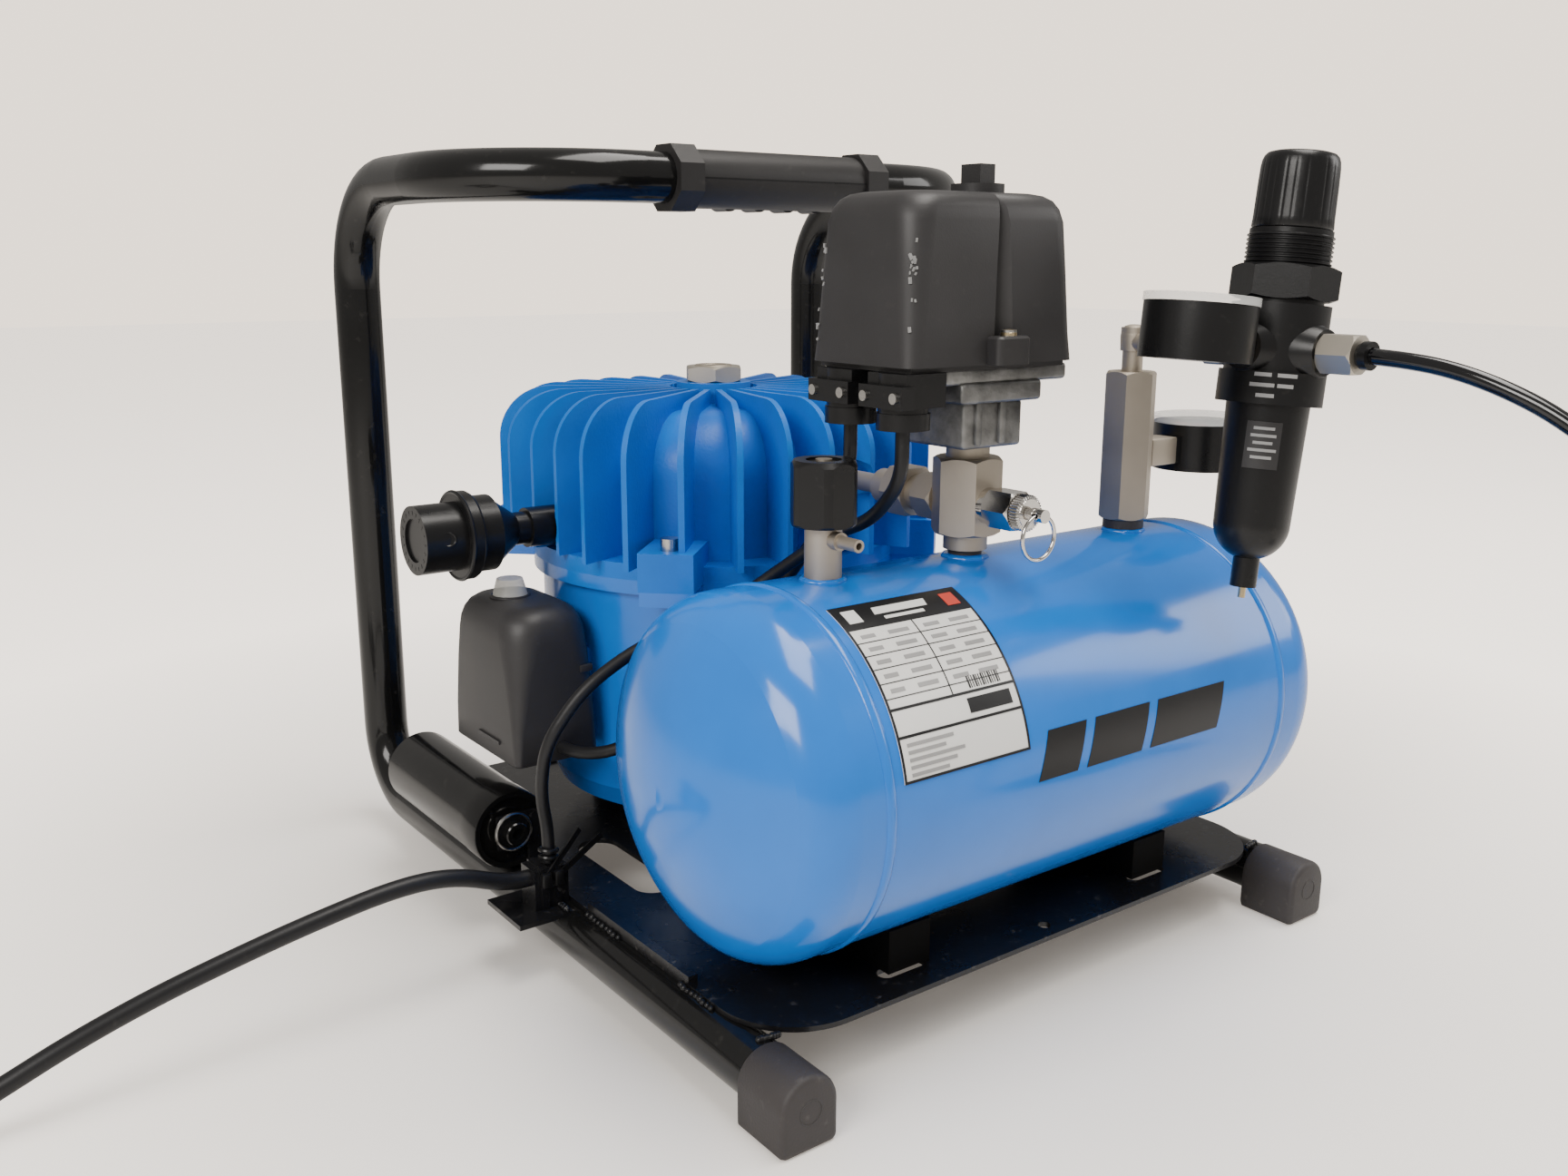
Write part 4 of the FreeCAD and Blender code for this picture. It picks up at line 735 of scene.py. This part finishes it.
def filter_details():
    """Flange rings on the intake filter, a dimple on its side and short marks round its end."""
    mesh = bmesh.new()
    y, height, marks = 0.222, 0.1705, 20
    for x, radius in ((-0.0050, 0.0182), (0.0000, 0.0172)):
        add_lathe(mesh, ring_profile(radius, 0.0009, 8), turned_to((1, 0, 0), plan(x, y, height)), 64)
    add_lathe(mesh, [(0, 0), (0.0022, 0), (0.0027, 0.0004), (0.0030, 0), (0.0030, -0.0010), (0, -0.0010)],
              turned_to((-0.25, -1, 0.15), plan(-0.0140, 0.2080, 0.1722)), 32)
    for mark in range(marks):
        turn = Matrix.Rotation(FULL_TURN * mark / marks, 4, "X")
        seat = Matrix.Translation(plan(-0.0236, y, height)) @ turn
        add_box(mesh, (0, -0.0004, 0.0108), (0.0002, 0.0004, 0.0124), seat)
    from_mesh("filter_details", mesh, "black_moulded")


COVER_LEFT, COVER_RIGHT, COVER_FRONT, COVER_BACK = 0.086, 0.1695, 0.045, 0.102
COVER_FOOT, COVER_SCREW_X = 0.2460, 0.131


def switch_shapes():
    """The switch cover with its draft and widening vee, and the stepped casting under it."""
    cover = bmesh.new()
    levels = []
    for height, inset, radius, notch in (
            (COVER_FOOT, 0, 0.0060, 0.0050), (0.2560, 0.0006, 0.0070, 0.0046),
            (0.2800, 0.0014, 0.0090, 0.0036), (0.2960, 0.0020, 0.0105, 0.0026),
            (0.3005, 0.0030, 0.0110, 0.0018), (0.3035, 0.0048, 0.0110, 0.0008),
            (0.3052, 0.0074, 0.0105, 0.0002), (0.3060, 0.0110, 0.0095, 0.0001)):
        levels.append((height, (COVER_LEFT + inset, COVER_FRONT + inset),
                       (COVER_RIGHT - inset, COVER_BACK - inset), radius, notch))
    rounded_loft(cover, levels, notch_at=COVER_SCREW_X)
    rounded_loft(cover, [(COVER_FOOT, (0.1228, 0.0390), (0.1392, 0.0480), 0.0025, 0),
                         (0.2552, (0.1228, 0.0390), (0.1392, 0.0480), 0.0025, 0),
                         (0.2560, (0.1236, 0.0398), (0.1384, 0.0480), 0.0020, 0)])
    piece = from_mesh("shaped_switch_cover", cover, "black_satin", smooth=35)
    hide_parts("switch_cover")
    casting = bmesh.new()
    for low, high in (((0.1175, 0.0505, 0.2150), (0.1475, 0.0865, 0.2325)),
                      ((0.1135, 0.0475, 0.2318), (0.1545, 0.0935, 0.2395)),
                      ((0.1065, 0.0485, 0.2388), (0.1685, 0.0945, 0.2450))):
        add_box(casting, plan(*low), plan(*high), round_by=0.0016, steps=3)
    for x, y in ((0.1240, 0.0502), (0.1360, 0.0502), (0.1478, 0.0600)):
        add_box(casting, plan(x - 0.0016, y - 0.0012, 0.2165), plan(x + 0.0016, y + 0.0012, 0.2370),
                round_by=0.0008)
    under = bmesh.new()
    add_box(under, plan(0.0895, 0.0485, 0.2440), plan(0.1660, 0.0985, 0.2462))
    casting_piece = from_mesh("casting", casting, "die_cast", smooth=40)
    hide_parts("switch_base")
    from_mesh("cover_floor", under, "black_satin")


def switch_scuffs():
    """Pale scuffs on the two left edges of the switch cover, and the brass cover screw."""
    mesh = bmesh.new()
    near_bands, far_bands = ((0.258, 0.292), (0.274, 0.284)), ((0.252, 0.296), (0.252, 0.260))
    near_turns, far_turns = (38, 54), (10, 42)
    draft, corner_foot, corner_growth = 0.035, 0.006, 0.09
    for _ in range(28):
        near = random.random() < 0.45
        low, high = random.choice(near_bands if near else far_bands)
        height = random.uniform(low, high)
        rise = height - COVER_FOOT
        inset = rise * draft
        corner = corner_foot + rise * corner_growth
        turn = math.radians(random.uniform(*(near_turns if near else far_turns)))
        x = COVER_LEFT + inset + corner * (1 - math.cos(turn))
        side = inset + corner * (1 - math.sin(turn))
        y = COVER_FRONT + side if near else COVER_BACK - side
        size = random.uniform(0.0002, 0.00045)
        low_corner = (-size, -size, -size * random.uniform(1, 3))
        high_corner = (size, size, size * random.uniform(1, 3))
        tilt = Matrix.Rotation(random.uniform(-0.6, 0.6), 4, "X")
        add_box(mesh, low_corner, high_corner, Matrix.Translation(plan(x, y, height)) @ tilt)
    from_mesh("scuffs", mesh, "scuff")
    screw = bmesh.new()
    add_lathe(screw, [(0, 0), (0.0029, 0), (0.0029, 0.0010), (0.0022, 0.0020), (0, 0.0023)],
              turned_to((0, 0, 1), plan(COVER_SCREW_X, 0.043, 0.2562)), 32)
    from_mesh("cover_screw", screw, "brass")


def plug_dimple():
    """The raised rim round the hollow in the filler plug's head."""
    mesh = bmesh.new()
    seat = turned_to((0, 0, 1), plan(0.124, 0.222, 0.235))
    add_lathe(mesh, [(0, 0), (0.0052, 0), (0.0058, 0.0006), (0.0082, 0.0006), (0.0088, 0),
                     (0.0088, -0.0004), (0, -0.0004)], seat, 48)
    from_mesh("plug_dimple", mesh, "nickel")


def grip_seams():
    """The mould line along the front and back of the grip."""
    mesh = bmesh.new()
    for y in (0.1975, 0.2218):
        add_box(mesh, plan(0.1040, y, 0.3157), plan(0.1930, y + 0.0007, 0.3163))
    from_mesh("grip_seams", mesh, "black_moulded")


safety_valve_knurl()
rubber_feet()
weld_beads()
cable_ties()
capacitor_end()
relay_box()
switch_shapes()
switch_scuffs()
filter_details()
plug_dimple()
grip_seams()


# ---------------------------------------------------------------- stage

def floor():
    """A plain pale floor that glows to the camera as a backdrop, its glow held low near the machine as a
    painted shadow under it.
    """
    data = bpy.data.meshes.new("floor")
    reach = 6.0
    # painted shadow: the floor's glow stays low within these radii of the machine's middle
    painted_shade_radius, painted_shade_fade_radius = 0.16, 0.60
    painted_shade_glow, glow_far = 0.12, 1.6
    data.from_pydata([(-reach, -reach, 0), (reach, -reach, 0), (reach, reach, 0), (-reach, reach, 0)], [],
                     [(0, 1, 2, 3)])
    piece = bpy.data.objects.new("floor", data)
    bpy.context.scene.collection.objects.link(piece)
    surface = material("floor", (0.90, 0.875, 0.84), rough=0.45, grain=60, bump=0.02, mottle=0.015,
                       patch=3)
    nodes, links = surface.node_tree.nodes, surface.node_tree.links
    seen = nodes.new("ShaderNodeLightPath")
    glow = nodes.new("ShaderNodeMath")
    glow.operation = "MULTIPLY"
    place = nodes.new("ShaderNodeTexCoord")
    distance = nodes.new("ShaderNodeVectorMath")
    distance.operation = "LENGTH"
    # painted shadow under the machine: the glow grows with distance from its middle
    painted_shade_falloff = nodes.new("ShaderNodeMapRange")
    painted_shade_falloff.inputs["From Min"].default_value = painted_shade_radius
    painted_shade_falloff.inputs["From Max"].default_value = painted_shade_fade_radius
    painted_shade_falloff.inputs["To Min"].default_value = painted_shade_glow
    painted_shade_falloff.inputs["To Max"].default_value = glow_far
    links.new(place.outputs["Object"], distance.inputs[0])
    links.new(distance.outputs["Value"], painted_shade_falloff.inputs["Value"])
    links.new(painted_shade_falloff.outputs["Result"], glow.inputs[1])
    links.new(seen.outputs["Is Camera Ray"], glow.inputs[0])
    links.new(glow.outputs["Value"], nodes["Principled BSDF"].inputs["Emission Strength"])
    nodes["Principled BSDF"].inputs["Emission Color"].default_value = (1.0, 0.89, 0.78, 1)
    piece.data.materials.append(surface)


def lamp(name, place, target, width, height, power, colour):
    """A soft rectangular light aimed at a target."""
    data = bpy.data.lights.new(name, "AREA")
    data.shape = "RECTANGLE"
    data.size = width
    data.size_y = height
    data.energy = power
    data.color = colour
    seat = bpy.data.objects.new(name, data)
    direction = Vector(target) - Vector(place)
    seat.matrix_world = (Matrix.Translation(Vector(place))
                         @ direction.to_track_quat("-Z", "Y").to_matrix().to_4x4())
    bpy.context.scene.collection.objects.link(seat)


def lights():
    """Three soft lights, and a pale wall that the camera sees brighter than the machine does."""
    lamp("key_left", (-1.5, -0.6, 1.1), (0, 0, 0.12), 0.9, 0.7, 24, (1.0, 0.97, 0.93))
    lamp("overhead", (0.3, -0.3, 1.9), (0, 0, 0.1), 1.5, 0.8, 36, (1.0, 0.96, 0.91))
    lamp("fill_right", (1.6, -0.9, 0.9), (0, 0, 0.15), 0.8, 0.8, 10, (1.0, 0.98, 0.96))
    world = bpy.data.worlds.new("room")
    world.use_nodes = True
    nodes, links = world.node_tree.nodes, world.node_tree.links
    back = nodes["Background"]
    back.inputs["Color"].default_value = (0.83, 0.79, 0.74, 1)
    back.inputs["Strength"].default_value = 0.55
    wall = nodes.new("ShaderNodeBackground")
    wall.inputs["Color"].default_value = (0.90, 0.78, 0.66, 1)
    wall.inputs["Strength"].default_value = 2.5
    seen = nodes.new("ShaderNodeLightPath")
    mix = nodes.new("ShaderNodeMixShader")
    links.new(seen.outputs["Is Camera Ray"], mix.inputs["Fac"])
    links.new(back.outputs["Background"], mix.inputs[1])
    links.new(wall.outputs["Background"], mix.inputs[2])
    links.new(mix.outputs["Shader"], nodes["World Output"].inputs["Surface"])
    bpy.context.scene.world = world


floor()
lights()
